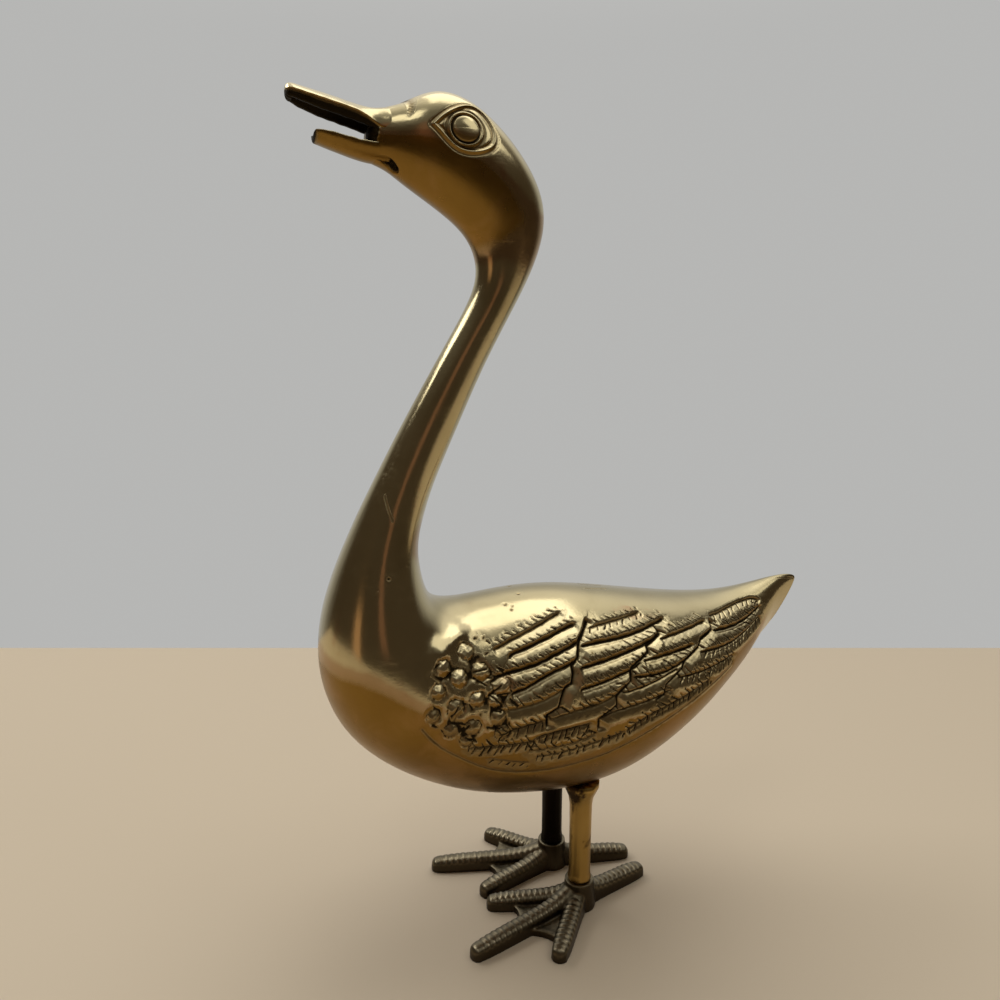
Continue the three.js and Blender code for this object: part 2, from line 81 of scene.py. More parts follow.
# Slices along the two halves of the bill: forward of its root, the lower and the upper line above
# the root, and the width
BILL_SIZE = (26.6, 16, 12.8)
UPPER_BILL = [
    (-0.14, 0.02, 0.522, 1.165), (0.015, 0.055, 0.484, 0.968), (0.1, 0.085, 0.493, 0.945),
    (0.27, 0.175, 0.54, 0.945), (0.46, 0.25, 0.62, 0.92), (0.61, 0.315, 0.675, 0.88),
    (0.76, 0.39, 0.725, 0.82), (0.9, 0.475, 0.775, 0.7), (0.935, 0.505, 0.782, 0.58),
]
LOWER_BILL = [
    (-0.14, -0.52, -0.16, 0.93), (0.085, -0.5, -0.18, 0.92), (0.235, -0.45, -0.15, 0.9),
    (0.385, -0.38, -0.1, 0.87), (0.535, -0.305, -0.045, 0.83), (0.64, -0.25, -0.025, 0.78),
    (0.7, -0.215, -0.03, 0.74),
]

# The cuts between the feathers of a wing: how deep each is, how far the strokes of the barbs reach
# above and below it, and its points as a slice number and degrees round from the back
CUTS = [
    (0.7, 2.0, 0, (12.43, 47, 12.15, 45.5, 11.81, 42, 11.41, 39.5, 11.01, 36, 10.64, 32, 10.27, 28)),
    (0.95, 1.5, 0, (11.98, 53, 11.86, 50, 11.64, 49.5, 11.13, 46, 10.73, 43, 10.39, 39.5, 9.99, 36)),
    (1.1, 1.7, 0, (12.54, 66, 12.26, 61, 11.86, 60, 11.58, 59, 11.07, 57, 10.67, 53, 10.27, 50, 10.05, 47)),
    (1.05, 2.5, 0, (11.98, 72, 11.58, 70, 11.18, 66, 10.78, 62, 10.39, 60, 10.22, 57)),
    (0.55, 2.7, 0, (12.2, 81, 11.58, 79, 11.13, 77, 10.73, 73, 10.44, 70)),
    (0.75, 2.7, 1.8, (12.26, 94, 11.98, 92, 11.58, 90, 11.24, 88, 11.01, 87)),
    (0.75, 2.3, 2.3, (12.88, 105, 12.43, 102.5, 12.09, 101, 11.58, 99.5, 11.2, 98)),
    (0.3, 0, 1.4, (12.32, 109.5, 11.81, 111, 11.3, 112)),
    (0.65, 1.3, 1.8, (9.76, 40, 9.14, 36, 8.57, 32, 8.12, 28)),
    (0.95, 2.0, 0, (10.05, 50, 9.48, 48, 8.91, 46, 8.29, 42, 7.83, 37, 7.49, 33)),
    (1.05, 2.5, 0, (10.16, 62, 9.59, 59.5, 9.03, 56, 8.46, 52, 7.89, 47)),
    (1.0, 2.6, 0, (10.22, 73, 9.71, 71, 9.14, 67, 8.74, 64.5, 8.51, 61)),
    (0.6, 2.7, 0, (10.22, 83.5, 9.71, 81, 9.31, 77.5, 9.03, 72)),
    (0.65, 2.5, 0, (11.01, 87, 10.44, 84, 9.71, 80.5)),
    (0.75, 2.4, 0, (9.76, 90, 9.42, 86, 8.85, 85, 8.17, 84, 7.75, 82)),
    (0.85, 0, 3.2, (11.2, 101, 11.35, 97, 10.95, 94.5, 10.44, 92.5, 9.93, 91)),
    (0.6, 2.7, 0, (11.41, 104.5, 10.9, 103.5, 10.39, 102, 9.99, 98.8, 9.76, 96.5)),
    (0.9, 1.6, 1.7, (11.18, 108.5, 10.73, 107.5, 10.39, 105.8, 9.76, 102.4, 9.08, 99.5)),
    (0.9, 2.4, 1.5, (9.08, 99.5, 8.74, 95.5, 8.23, 92.5, 7.38, 91.5, 6.87, 91, 6.36, 90)),
    (0.8, 2.6, 0, (7.89, 49, 7.27, 46, 6.75, 43, 6.19, 39)),
    (0.95, 2.2, 0, (8.51, 61, 7.72, 59.5, 6.87, 57)),
    (0.95, 2.5, 0, (8.85, 69, 8.17, 71, 7.55, 69, 6.92, 63)),
    (0.8, 2.3, 0, (9.2, 77, 8.57, 76, 8.0, 73, 7.49, 70)),
    (0.6, 0, 2.6, (6.02, 36, 5.45, 34, 4.82, 28, 4.2, 29, 3.86, 33, 3.58, 44)),
    (0.9, 2.4, 0, (6.07, 50, 5.3, 53.5, 4.43, 55, 3.58, 52)),
    (0.85, 2.4, 2.0, (6.75, 64, 5.96, 67.5, 5.28, 70, 4.6, 69.5, 3.58, 66)),
    (0.85, 2.2, 2.2, (7.61, 76, 6.92, 79, 6.02, 81.5, 5.28, 84)),
]
# The cuts that end each row of feathers, from the lower edge of the wing to the back
TIPS = [
    (11.01, 92, 11.01, 84, 10.73, 81, 10.67, 76, 10.56, 71, 10.39, 69, 10.33, 64, 10.33, 60, 10.16, 56,
     10.1, 52, 10.05, 47, 9.88, 42, 9.65, 33),
    (9.76, 96, 9.76, 89, 9.31, 83, 9.31, 78, 8.91, 71, 8.85, 64, 8.29, 56, 8.29, 52, 7.83, 45, 7.9, 36),
    (8.29, 86, 8.0, 84, 7.95, 78, 7.38, 71, 7.27, 66, 6.75, 60, 6.58, 54, 6.07, 49, 6.02, 38),
]
# The round scales of the shoulder: a slice number, degrees round from the back, half the width and
# the height
SCALES = [
    (14.13, 62, 2.7, 0.7), (13.51, 65, 3.0, 1.15), (14.08, 77, 2.4, 1.1), (12.88, 75, 2.5, 1.1),
    (12.83, 59, 3.1, 0.9), (13.45, 82, 2.9, 0.65), (12.2, 67, 3.3, 0.95), (13.98, 92, 2.4, 0.7),
    (12.26, 84, 2.8, 0.6), (12.88, 91, 2.8, 0.75), (13.42, 96, 2.5, 0.6), (13.34, 48, 3.0, 0.6),
    (12.37, 75, 2.3, 0.7), (12.1, 92, 2.6, 0.6), (12.95, 100, 2.3, 0.5),
]
SCALE_GROUND = 1.4  # how deep the ground between the scales lies
# Single strokes cut into the scales, from end to end
NICKS = [
    (12.43, 56, 12.15, 60), (13.06, 60, 12.66, 58), (13.06, 63, 12.66, 67), (12.54, 72, 12.26, 67),
    (12.54, 72, 12.2, 77), (12.32, 72, 12.03, 71), (14.47, 70, 14.08, 69), (14.13, 86, 13.85, 87),
    (13.0, 81, 12.71, 83), (13.51, 89, 13.42, 81), (13.51, 91, 13.11, 90), (13.91, 97, 13.62, 98),
    (13.0, 98, 12.71, 99), (12.54, 90, 12.2, 90), (12.49, 80, 12.2, 81), (13.17, 56, 13.57, 56),
    (14.47, 66, 14.36, 62), (12.49, 97, 12.26, 101), (13.0, 51, 12.6, 49), (13.06, 40, 12.83, 38),
    (12.71, 39, 12.49, 43), (11.98, 74, 11.75, 78), (13.57, 93, 13.51, 87), (13.11, 95, 13.0, 90),
    (12.32, 62, 11.98, 61),
]
# The cut line under the wing, as slice numbers and degrees
WING_LINE = (
    (14.1, 103, 13.57, 109, 13.0, 112, 12.54, 115.5, 12.2, 117.5, 11.64, 119, 11.07, 119, 10.56, 117)
    + (10.05, 114, 9.59, 112, 9.0, 107.5, 8.4, 104, 7.7, 100.5, 7.0, 98, 6.2, 96, 5.3, 94)
)
# The almond lid of an eye, from its front corner over the top
LID = (
    (31.6, 84, 31.45, 72, 31.16, 56, 30.93, 44, 30.65, 35, 30.25, 36, 29.78, 49, 29.55, 65, 29.68, 80)
    + (29.97, 91, 30.37, 96, 30.82, 94, 31.25, 89, 31.6, 84)
)
# The rounded ridge in front of the scales, from above
SHOULDER_RIDGE = (13.3, 32, 13.85, 41, 14.25, 51, 14.45, 61)
EYE = (-42.95, 276.5)
THROAT_FLAW = (34, 145, 33.6, 145, 33.2, 149, 32.8, 152, 32.45, 159)
BROW_CREASE = (32.98, 3, 32.85, 18, 32.75, 42, 32.72, 60, 32.75, 76)

# Casting flaws on the back and the neck: the place, the radius and the depth
PITS = [
    (-29.3, -9.4, 124.7, 0.7, 0.5), (-28.1, -12.3, 123.5, 0.6, 0.4), (-27.2, -10.9, 124.2, 0.5, 0.4),
    (-22.5, -4.6, 126.3, 0.7, 0.4), (-71.9, -18.1, 140.8, 0.5, 0.3),
]

# Thin marks of the seam on the tail and the back, and a scratch across the neck
SEAMS = [
    (2.4, 15, 1.7, 24, 0.7, 28),
    (9.2, 5, 8.9, 4.4, 8.6, 3.5),
    (19.75, 133, 19.53, 119, 19.24, 102),
]

LEG_SPACING = 26
TOES = {"middle": (50, 15), "inner": (36, -16), "outer": (32.5, 51), "hind": (33, 193)}


def blended(rows, place):
    """Rows of numbers blended by a smooth curve, at places counted in rows."""
    rows = np.asarray(rows, float)
    table = np.vstack([2 * rows[0] - rows[1], rows, 2 * rows[-1] - rows[-2]])
    span = np.clip(np.floor(place).astype(int), 0, len(rows) - 2)
    f = (place - span)[:, None]
    weights = (
        (1 - f) ** 3 / 6,
        (3 * f**3 - 6 * f**2 + 4) / 6,
        (-3 * f**3 + 3 * f**2 + 3 * f + 1) / 6,
        f**3 / 6,
    )
    return sum(weight * table[span + k] for k, weight in enumerate(weights))


def scaled(rows, x, z, size):
    length, rise, depth, width = size
    return [
        (x + length * a, z + rise * u, depth * d, math.radians(lean), width / 2 * w)
        for a, u, d, lean, w in rows
    ]


neck_x, neck_z = BODY_SIZE[0] * BODY[-1][0], BELLY + BODY_SIZE[1] * BODY[-1][1]
head_x, head_z = neck_x + NECK_SIZE[0], neck_z + NECK_SIZE[1]
bill_x, bill_z = head_x + HEAD_SIZE[0] * HEAD[-1][0], head_z + HEAD_SIZE[1] * HEAD[-1][1]
SLICES = (
    scaled(BODY, 0, BELLY, BODY_SIZE)
    + scaled(NECK, neck_x, neck_z, NECK_SIZE)
    + scaled(HEAD, head_x, head_z, HEAD_SIZE)
)
LAST = len(SLICES) - 1


def skin(place, turn, inset=0.0, size=1.0, ahead=0.0):
    """Points of the left side in millimetres and their outward directions. Size shrinks a slice
    towards its middle, and ahead moves it towards the bill."""
    x, z, depth, lean, half = blended(SLICES, place).T
    sine, cosine = np.sin(lean), np.cos(lean)
    above, aside = np.cos(turn), np.sin(turn)
    reach = (depth / 2 - inset) * size * above
    out = (half - inset) * size * aside
    point = np.stack([x + sine * reach - cosine * ahead, -out, z + cosine * reach + sine * ahead], -1)
    outward = np.stack([sine * above / depth, -aside / (2 * half), cosine * above / depth], -1)
    outward /= np.linalg.norm(outward, axis=1, keepdims=True)
    return point, outward


def ease(x, low, high):
    """Smoothly from 0 to 1 as x goes from low to high."""
    t = np.clip((x - low) / (high - low), 0, 1)
    return t * t * (3 - 2 * t)


def bell(distance, width):
    """1 at distance 0, falling to 0 over about twice the width."""
    return np.exp(-((distance / width) ** 2))


def at_least(values, where, new):
    values[where] = np.maximum(values[where], new)


def follow(points, line, outward):
    """Distance of points to a line of points, the length along it, and how far above it they are."""
    best = np.full(len(points), np.inf)
    run = np.zeros(len(points))
    side = np.zeros(len(points))
    start = 0.0
    for a, b, out in zip(line[:-1], line[1:], outward):
        step = b - a
        length = np.linalg.norm(step)
        share = np.clip((points - a) @ step / length**2, 0, 1)
        off = points - (a + share[:, None] * step)
        distance = np.linalg.norm(off, axis=1)
        across = np.cross(out, step / length)
        nearer = distance < best
        best = np.where(nearer, distance, best)
        run = np.where(nearer, start + share * length, run)
        side = np.where(nearer, off @ across, side)
        start += length
    return best, run, side, start


def carved_line(keys):
    """A smooth line of points on the skin near keys given as slice and degrees."""
    keys = np.array(keys, float).reshape(-1, 2)
    keys = blended(keys, np.linspace(0, len(keys) - 1, 3 * len(keys)))
    return skin(keys[:, 0], np.radians(keys[:, 1]))


def wobble(points, step, seed):
    """A smooth unevenness between -1 and 1, with waves about step long."""
    x, y, z = (points / step * 2 * math.pi).T
    return (
        np.sin(x + 1.7 * np.sin(0.6 * z + seed)) * np.cos(0.9 * z + seed * 2.1)
        + np.sin(1.3 * z + 0.8 * y + seed * 3.3) * np.cos(1.1 * x + seed)
    ) / 2


def stepped_line(keys):
    """A line of points on the skin straight from key to key."""
    keys = np.array(keys, float).reshape(-1, 2)
    steps = np.linspace(0, len(keys) - 1, 3 * len(keys) - 2)
    place, degrees = (np.interp(steps, np.arange(len(keys)), keys[:, k]) for k in (0, 1))
    return skin(place, np.radians(degrees))


# Each cut with how far the feather above it rounds down to it, and the one below it rises from it
feather_cuts = [(depth, above, below, 1.7, 3.9, *carved_line(keys)) for depth, above, below, keys in CUTS]
feather_cuts += [(1.15, 0, 0, 1.3, 4.5, *stepped_line(keys)) for keys in TIPS]
scale_places, scale_turns = np.array(SCALES)[:, 0], np.radians(np.array(SCALES)[:, 1])
scale_middles = skin(scale_places, scale_turns)[0]
scale_ups = skin(scale_places, scale_turns - 0.02)[0] - scale_middles
scale_ups /= np.linalg.norm(scale_ups, axis=1, keepdims=True)
nicks = [carved_line(keys) for keys in NICKS]
wing_line, lid_line, ridge_line = map(carved_line, (WING_LINE, LID, SHOULDER_RIDGE))
flaw_line, crease_line = map(carved_line, (THROAT_FLAW, BROW_CREASE))
seam_lines = [carved_line(keys) for keys in SEAMS]


def wing_reach(points):
    """How far points are outside the carving of the wing."""
    reach = follow(points, *wing_line)[0] - 0.5
    for *_, line, outward in feather_cuts:
        reach = np.minimum(reach, follow(points, line[::2], outward[::2])[0] - 2.6)
    for middle, (_, _, half, _) in zip(scale_middles, SCALES):
        reach = np.minimum(reach, np.linalg.norm(points - middle, axis=1) - half)
    return reach


def cut(distance, width):
    """A sharp cut of unit depth along distance 0."""
    return np.clip(1 - np.abs(distance) / width, 0, 1) ** 0.8


def barbs(run, side, start, reach, number):
    """Slanted strokes beside a cut from start to reach away from it, each of its own length."""
    pitch = (2.7, 3.0, 2.5)[number % 3]
    count = (run + 0.7 * side + 0.3 * np.sin(1.3 * run + number)) / pitch + 0.37 * number
    own = np.floor(count)
    length = start + reach * (1.1 + 0.2 * np.sin(2.7 * own + number))
    line = cut((count - own - 0.5 + 0.1 * np.sin(5.1 * own)) * pitch, 0.42)
    ends = ease(side, start, start + 0.35) * ease(side, length + 0.35, length - 0.15)
    return np.clip(1.6 * line * ends * (0.8 + 0.2 * np.sin(3.9 * own + number)), 0, 1)


def scale_height(points):
    """The scales of the shoulder, laid like tiles with their lower edges proud: the height, how far
    in among the scales points are, and how dark the creases and the pits are."""
    first, second = np.full((2, len(points)), -9.0)
    among = np.zeros(len(points))
    uneven = 1 + 0.12 * wobble(points, 6.1, 2.2) + 0.06 * wobble(points, 2.3, 1.2)
    for middle, up, (_, _, half, height) in zip(scale_middles, scale_ups, SCALES):
        off = points - middle
        share = np.linalg.norm(off, axis=1) * uneven / (1.22 * half)
        rise = off @ up
        tile = (SCALE_GROUND + height - 0.12 * rise) * np.clip(1 - share**2, 0, 1) ** 0.85
        tile = tile - SCALE_GROUND
        tile = np.where(share < 1, tile, -9.0)
        second = np.maximum(second, np.minimum(first, tile))
        first = np.maximum(first, tile)
        among += np.exp(-1.3 * share**2)
    ground = -SCALE_GROUND * ease(among, 0.22, 0.7)
    top = np.maximum(first, ground)
    crease = bell(first - np.maximum(second, ground), 0.2) * ease(first, 0.4, -0.2)
    pits = np.maximum(crease, ease(top, -0.1, -0.75))
    return top, ease(among, 0.1, 0.4), pits


def wing_height(points, degrees):
    """The carving of the wing: how far it stands off the skin, and how much patina it holds."""
    deep, sharp, strokes, lips = np.zeros((4, len(points)))
    shaken = points + 0.13 * np.stack([wobble(points, 5.3, s) for s in (0.3, 1.9, 4.2)], -1)
    for number, (depth, above, below, steep, gentle, line, outward) in enumerate(feather_cuts):
        low, high = line.min(axis=0) - 6, line.max(axis=0) + 6
        near = ((points > low) & (points < high)).all(axis=1)
        if not near.any():
            continue
        distance, run, side, length = follow(shaken[near], line, outward)
        ends = ease(np.minimum(run, length - run), -0.6, 1.6)
        reach = np.clip(distance / np.where(side > 0, steep, gentle), 0, 1)
        broad = (1 - reach) ** np.where(side > 0, 2.0, 1.35)
        at_least(deep, near, depth * ends * (0.4 * bell(distance, 0.4) + 1.55 * broad))
        wide = 0.52 if number < len(CUTS) else 0.8
        at_least(sharp, near, ends * (min(1, 0.35 + 0.6 * depth) * bell(distance, wide)))
        beside = (np.abs(side) > 0.8 * distance) & (run > 0.4) & (run < length - 0.2)
        start = 0.15 + 0.65 * ease(degrees[near], 76, 68)
        if above:
            at_least(strokes, near, beside * barbs(run, side, start, above, number))
        if below:
            at_least(strokes, near, beside * barbs(run, -side, 0.15, below, number + 5))
        if depth > 0.8 and number < len(CUTS):
            lip = beside * cut(side + 1.35, 0.35) * ease(run, 0.5, 1.5)
            at_least(lips, near, lip * ease(run, 0.8 * length, 0.6 * length))
    scales, shoulder, pits = scale_height(shaken)
    for line in nicks:
        strokes = np.maximum(strokes, np.clip(1.15 * bell(follow(points, *line)[0], 0.36), 0, 1))
    height = -(deep + 0.15 * lips) * (1 - shoulder) + (scales - 0.25 * deep) * shoulder - 0.32 * strokes
    line = bell(follow(shaken, *wing_line)[0], 0.7)
    height = height * (1 - line) - 0.35 * line
    distance, run, side, length = follow(points, *ridge_line)
    wide = np.where(side > 0, 2.6, 4.5)
    height += 1.3 * bell(distance, wide) * ease(np.minimum(run, length - run), -2, 3)
    carved = np.maximum(shoulder, ease(deep, 0.0, 0.1))
    uneven = 0.12 * wobble(points, 2.9, 0.7) + 0.06 * wobble(points, 1.7, 2.9)
    height += carved * (0.35 + 0.65 * shoulder) * uneven
    patina_and_shade = np.maximum.reduce([sharp, 0.95 * strokes, 0.5 * lips, 0.9 * pits * shoulder, 0.6 * line])
    # The carved wing is darker towards its lower edge.
    low_wing = ease(degrees, 66, 92)
    return height, np.maximum(patina_and_shade, carved * (0.1 + 0.32 * low_wing))


def eye_height(points):
    """The domed eyeball in a grooved ring, inside the thin raised line of an almond lid."""
    x, z = points[:, 0] - EYE[0], points[:, 2] - EYE[1]
    ball = np.hypot(x / 4.25, z / 3.85)
    lid = follow(points, *lid_line)[0]
    rim, ring, ditch = ((ball - share) * 4.05 for share in (1.05, 1.25, 1.46))
    height = np.where(rim < 0, -0.05 + 0.95 * np.sqrt(np.clip(1 - 0.86 * ball**2, 0, 1)), 0)
    height += 0.34 * bell(ring, 0.42)
    height -= 0.55 * bell(rim, 0.26)
    height -= 0.35 * bell(ditch, 0.42) * ease(lid, 0.2, 0.8)
    height += 0.45 * bell(lid, 0.36)
    height -= 0.3 * bell(lid - 0.95, 0.4)
    near = ((ball < 1.9) | (lid < 2.2)) & (points[:, 1] < -3)
    patina_and_shade = np.maximum(0.9 * bell(rim, 0.34), 0.65 * bell(ditch, 0.45))
    patina_and_shade = np.maximum(patina_and_shade * ease(lid, 0.1, 0.5), 0.5 * bell(lid - 0.95, 0.38))
    # Painted reflection: the lower half of the eyeball is darker.
    patina_and_shade = np.maximum(patina_and_shade, 0.3 * (ball < 1) * ease(z, 0.5, -1.5))
    return height * near, patina_and_shade * near


def carve(points, place, degrees):
    """The height of the whole skin, and its patina with the painted shade kept in it."""
    height, patina_and_shade = np.zeros((2, len(points)))
    body = (place < 15.5) & (place > 2.5)
    height[body], patina_and_shade[body] = wing_height(points[body], degrees[body])
    head = place > 27
    face = points[head]
    eye, dark = eye_height(face)
    height[head] += eye
    at_least(patina_and_shade, head, dark)
    # the step behind the bill with a painted shadow along it, and the rough flaw in the throat
    distance, run, _, length = follow(face, *crease_line)
    step = bell(distance, 2.3 - 1.8 * run / length) * ease(run, length, 0.75 * length)
    height[head] -= 0.38 * step * (1 + 0.35 * wobble(face, 1.7, 0.4))
    # Painted shadow: the crease behind the bill is darkened along its length.
    at_least(patina_and_shade, head, 0.42 * step)
    distance, run, _, length = follow(face + 0.5 * wobble(face, 2.1, 1.3)[:, None], *flaw_line)
    wide = 0.7 + 0.75 * ease(run, 0, 0.6 * length)
    hole = ease(distance / wide, 1.35, 0.7)
    height[head] -= hole * (1.3 + 0.5 * wobble(face, 1.1, 2.7))
    at_least(patina_and_shade, head, hole)
    for *middle, radius, depth in PITS:
        mark = bell(np.linalg.norm(points - middle, axis=1), radius)
        height -= depth * mark
        patina_and_shade = np.maximum(patina_and_shade, mark)
    for line in seam_lines:
        mark = bell(follow(points, *line)[0], 0.3)
        height -= 0.12 * mark
        patina_and_shade = np.maximum(patina_and_shade, 0.5 * mark)
    return height, patina_and_shade


def flat_places(bm):
    """Where the corners of a grid lie, from 0 to 1 each way."""
    return np.array([v.co[:2] for v in bm.verts]).T + 0.5


def flat_grid(columns, rows):
    """A grid of faces, and where its corners lie."""
    bm = bmesh.new()
    bmesh.ops.create_grid(bm, x_segments=columns, y_segments=rows, size=0.5)
    return bm, *flat_places(bm)


def flatten(points, v, axis=1):
    """Puts the first and the last row of a grid on the plane at 0."""
    points[(v < 1e-6) | (v > 1 - 1e-6), axis] = 0


def weld(bm, gap=2e-6):
    bmesh.ops.remove_doubles(bm, verts=bm.verts, dist=gap)


def settle(bm, points, patina_and_shade=0.0, along=0.0, around=0.0):
    """Moves the corners to points in millimetres, keeps on them how much patina and painted shade they hold
    and where they lie along the goose and around it, and shades the faces smooth."""
    marks = {"patina_and_shade": patina_and_shade, "along": along, "around": around}
    layers = [bm.verts.layers.float.new(name) for name in marks]
    values = np.stack([np.broadcast_to(value, len(points)) for value in marks.values()], -1)
    shift = np.array([-MIDDLE, 0, 0])
    for v, p, row in zip(bm.verts, (points + shift) * MM, values.tolist()):
        v.co = p
        for layer, value in zip(layers, row):
            v[layer] = value
    smooth(bm)


def close_on_plane(bm, axis=1):
    """Closes the one open side of each shape, which lies flat on a plane, and makes its edge sharp."""
    weld(bm)
    bmesh.ops.dissolve_degenerate(bm, edges=bm.edges, dist=1e-7)
    rim = [e for e in bm.edges if e.is_boundary]
    for e in rim:
        for v in e.verts:
            v.co[axis] = 0
    normal = Vector((0, 0, 0))
    normal[axis] = 1
    made = bmesh.ops.triangle_fill(bm, edges=rim, normal=normal, use_beauty=True)
    for item in made["geom"]:
        if isinstance(item, bmesh.types.BMFace):
            item.smooth = False
    for e in rim:
        e.smooth = False
    bmesh.ops.recalc_face_normals(bm, faces=bm.faces)


def linked(name, data):
    """A new object of the scene."""
    thing = bpy.data.objects.new(name, data)
    bpy.context.collection.objects.link(thing)
    return thing


def new_object(name, bm):
    mesh = bpy.data.meshes.new(name)
    bm.to_mesh(mesh)
    bm.free()
    return linked(name, mesh)


def joined(bm, other):
    """Adds another bmesh to the first."""
    mesh = bpy.data.meshes.new("part")
    other.to_mesh(mesh)
    other.free()
    bm.from_mesh(mesh)
    bpy.data.meshes.remove(mesh)


def smooth(bm):
    for f in bm.faces:
        f.smooth = True


# Columns of the skin: the slice, the size of the slice and how far ahead it lies. The tail ends in
# a narrow flat edge, and the head in a blunt end between the two halves of the bill.
TAIL_END = [(0, 0.0, -0.55), (0, 0.5, -0.55), (0, 0.78, -0.5), (0, 0.86, -0.25)]
MOUTH_END = [(LAST, 0.995, 0.0), (LAST, 0.965, 0.6), (LAST, 0.915, 1.3), (LAST, 0.84, 2.0),
             (LAST, 0.73, 2.6), (LAST, 0.57, 3.1), (LAST, 0.34, 3.4), (LAST, 0.0, 3.5)]
# The numbers of the columns that lie on slices 0, 2, 15, 25 and the last one
PLACES = np.interp(np.arange(209), (0, 14, 95, 170, 209), (0, 2, 15, 25, LAST))
COLUMNS = np.array(TAIL_END + [(p, 1 - 0.1 * max(0, 1 - p / 1.6) ** 2, 0.0) for p in PLACES] + MOUTH_END)
SEAM_STEP = 0.004
TURNS = math.pi * np.concatenate([[0, SEAM_STEP], np.linspace(0, 1, 40)[1:-1], [1 - SEAM_STEP, 1]])
# Where the skin gets finer, round by round: how far outside the carving of the wing and how far
# from the eye it still does, in millimetres, and the slice from which it does
FINER = [(3.5, 0, 26), (0.6, 12, 31.5), (-0.1, 10.4, LAST + 1)]


def skin_place(u, v):
    at = u * (len(COLUMNS) - 1)
    place, size, ahead = (np.interp(at, np.arange(len(COLUMNS)), column) for column in COLUMNS.T)
    turn = np.interp(v * (len(TURNS) - 1), np.arange(len(TURNS)), TURNS)
    return place, turn, size, ahead


def near_detail(u, v, from_wing, from_eye, from_slice):
    """Whether places of the grid are near what is carved there."""
    place, turn, size, ahead = skin_place(u, v)
    points, _ = skin(place, turn, 0, size, ahead)
    reach = np.full(len(points), np.inf)
    body = (place < 15.5) & (place > 2.5)
    reach[body] = wing_reach(points[body])
    for pit in PITS:
        reach = np.minimum(reach, np.linalg.norm(points - pit[:3], axis=1) - 1.6)
    for line in seam_lines:
        reach = np.minimum(reach, follow(points, *line)[0] - 0.4)
    eye = np.hypot(points[:, 0] - EYE[0], (points[:, 2] - EYE[1]) * 1.2)
    head = place > 31
    for line in (flaw_line, crease_line):
        eye[head] = np.minimum(eye[head], 9 + follow(points[head], *line)[0])
    eye[(place < 27) | (points[:, 1] > -1)] = np.inf
    return (reach < from_wing) | (eye < from_eye) | (place > from_slice)


def left_skin():
    bm, *_ = flat_grid(len(COLUMNS) - 1, len(TURNS) - 1)
    for limits in FINER[: 3]:
        u, v = np.array([f.calc_center_median()[:2] for f in bm.faces]).T + 0.5
        edges = {e for f, near in zip(bm.faces, near_detail(u, v, *limits)) if near for e in f.edges}
        bmesh.ops.subdivide_edges(bm, edges=list(edges), cuts=1, use_grid_fill=True)
    place, turn, size, ahead = skin_place(*flat_places(bm))
    points, outward = skin(place, turn, 0, size, ahead)
    height, patina_and_shade = carve(points, place, np.degrees(turn))
    on_seam = (turn < 1e-9) | (turn > math.pi - 1e-9)
    height[on_seam] = 0
    points = points + outward * height[:, None]
    points[on_seam, 1] = 0
    # the rough cast metal in the corner of the mouth
    mouth = ease(ahead, 0.1, 1.0) * ease(turn, 1.2, 1.5) * (place > LAST - 0.5)
    points[:, 1] += 0.3 * mouth * wobble(points, 2.3, 0.9) * (~on_seam)
    points[:, 2] += 0.35 * mouth * wobble(points, 1.9, 3.1)
    dark = 0.35 + 0.6 * ease(turn, 2.5, 2.1) + 0.15 * wobble(points, 1.5, 2.0)
    patina_and_shade = np.maximum(patina_and_shade, mouth * dark)
    settle(bm, points, np.clip(patina_and_shade, 0, 1), place / LAST, turn / math.pi)
    weld(bm)
    return bm


def cavity():
    """The hollow inside the left shell."""
    bm, u, v = flat_grid(32, 14)
    size = np.interp(u * 32, [0, 1, 2, 3, 29, 30, 31, 32], [0, 0.6, 0.85, 1, 1, 0.85, 0.6, 0])
    points, _ = skin(4 + 21 * u, math.pi * v, 3, size)
    flatten(points, v)
    settle(bm, points)
    return bm


def half_bill(grid, table, steps, root_sizes, tip_sizes, tip_ahead, section):
    """A section carried along the slices of a table. It grows from its root by the root's sizes, and
    its tip shrinks by the tip's sizes as it goes ahead."""
    bm, u, v = flat_grid(*grid)
    middle = np.linspace(0, 1, steps + 1)[1:]
    ends = np.concatenate([np.zeros(len(root_sizes)), middle, np.ones(len(tip_sizes))])
    sizes = np.concatenate([root_sizes, np.ones(steps), tip_sizes])
    ahead = np.concatenate([np.zeros(len(ends) - len(tip_ahead)), tip_ahead])
    at = u * (len(ends) - 1)
    step, size, nose = (np.interp(at, np.arange(len(ends)), values) for values in (ends, sizes, ahead))
    forward, low, high, wide = blended(table, step * (len(table) - 1)).T
    low, high = BILL_SIZE[1] * low, BILL_SIZE[1] * high
    y, z = section(v, step, low, high, BILL_SIZE[2] / 2 * wide)
    centre = (low + high) / 2
    z = centre + (z - centre) * size
    points = np.stack([bill_x - BILL_SIZE[0] * forward - nose, -y * size, bill_z + z], -1)
    flatten(points, v)
    return bm, points, v, step, nose


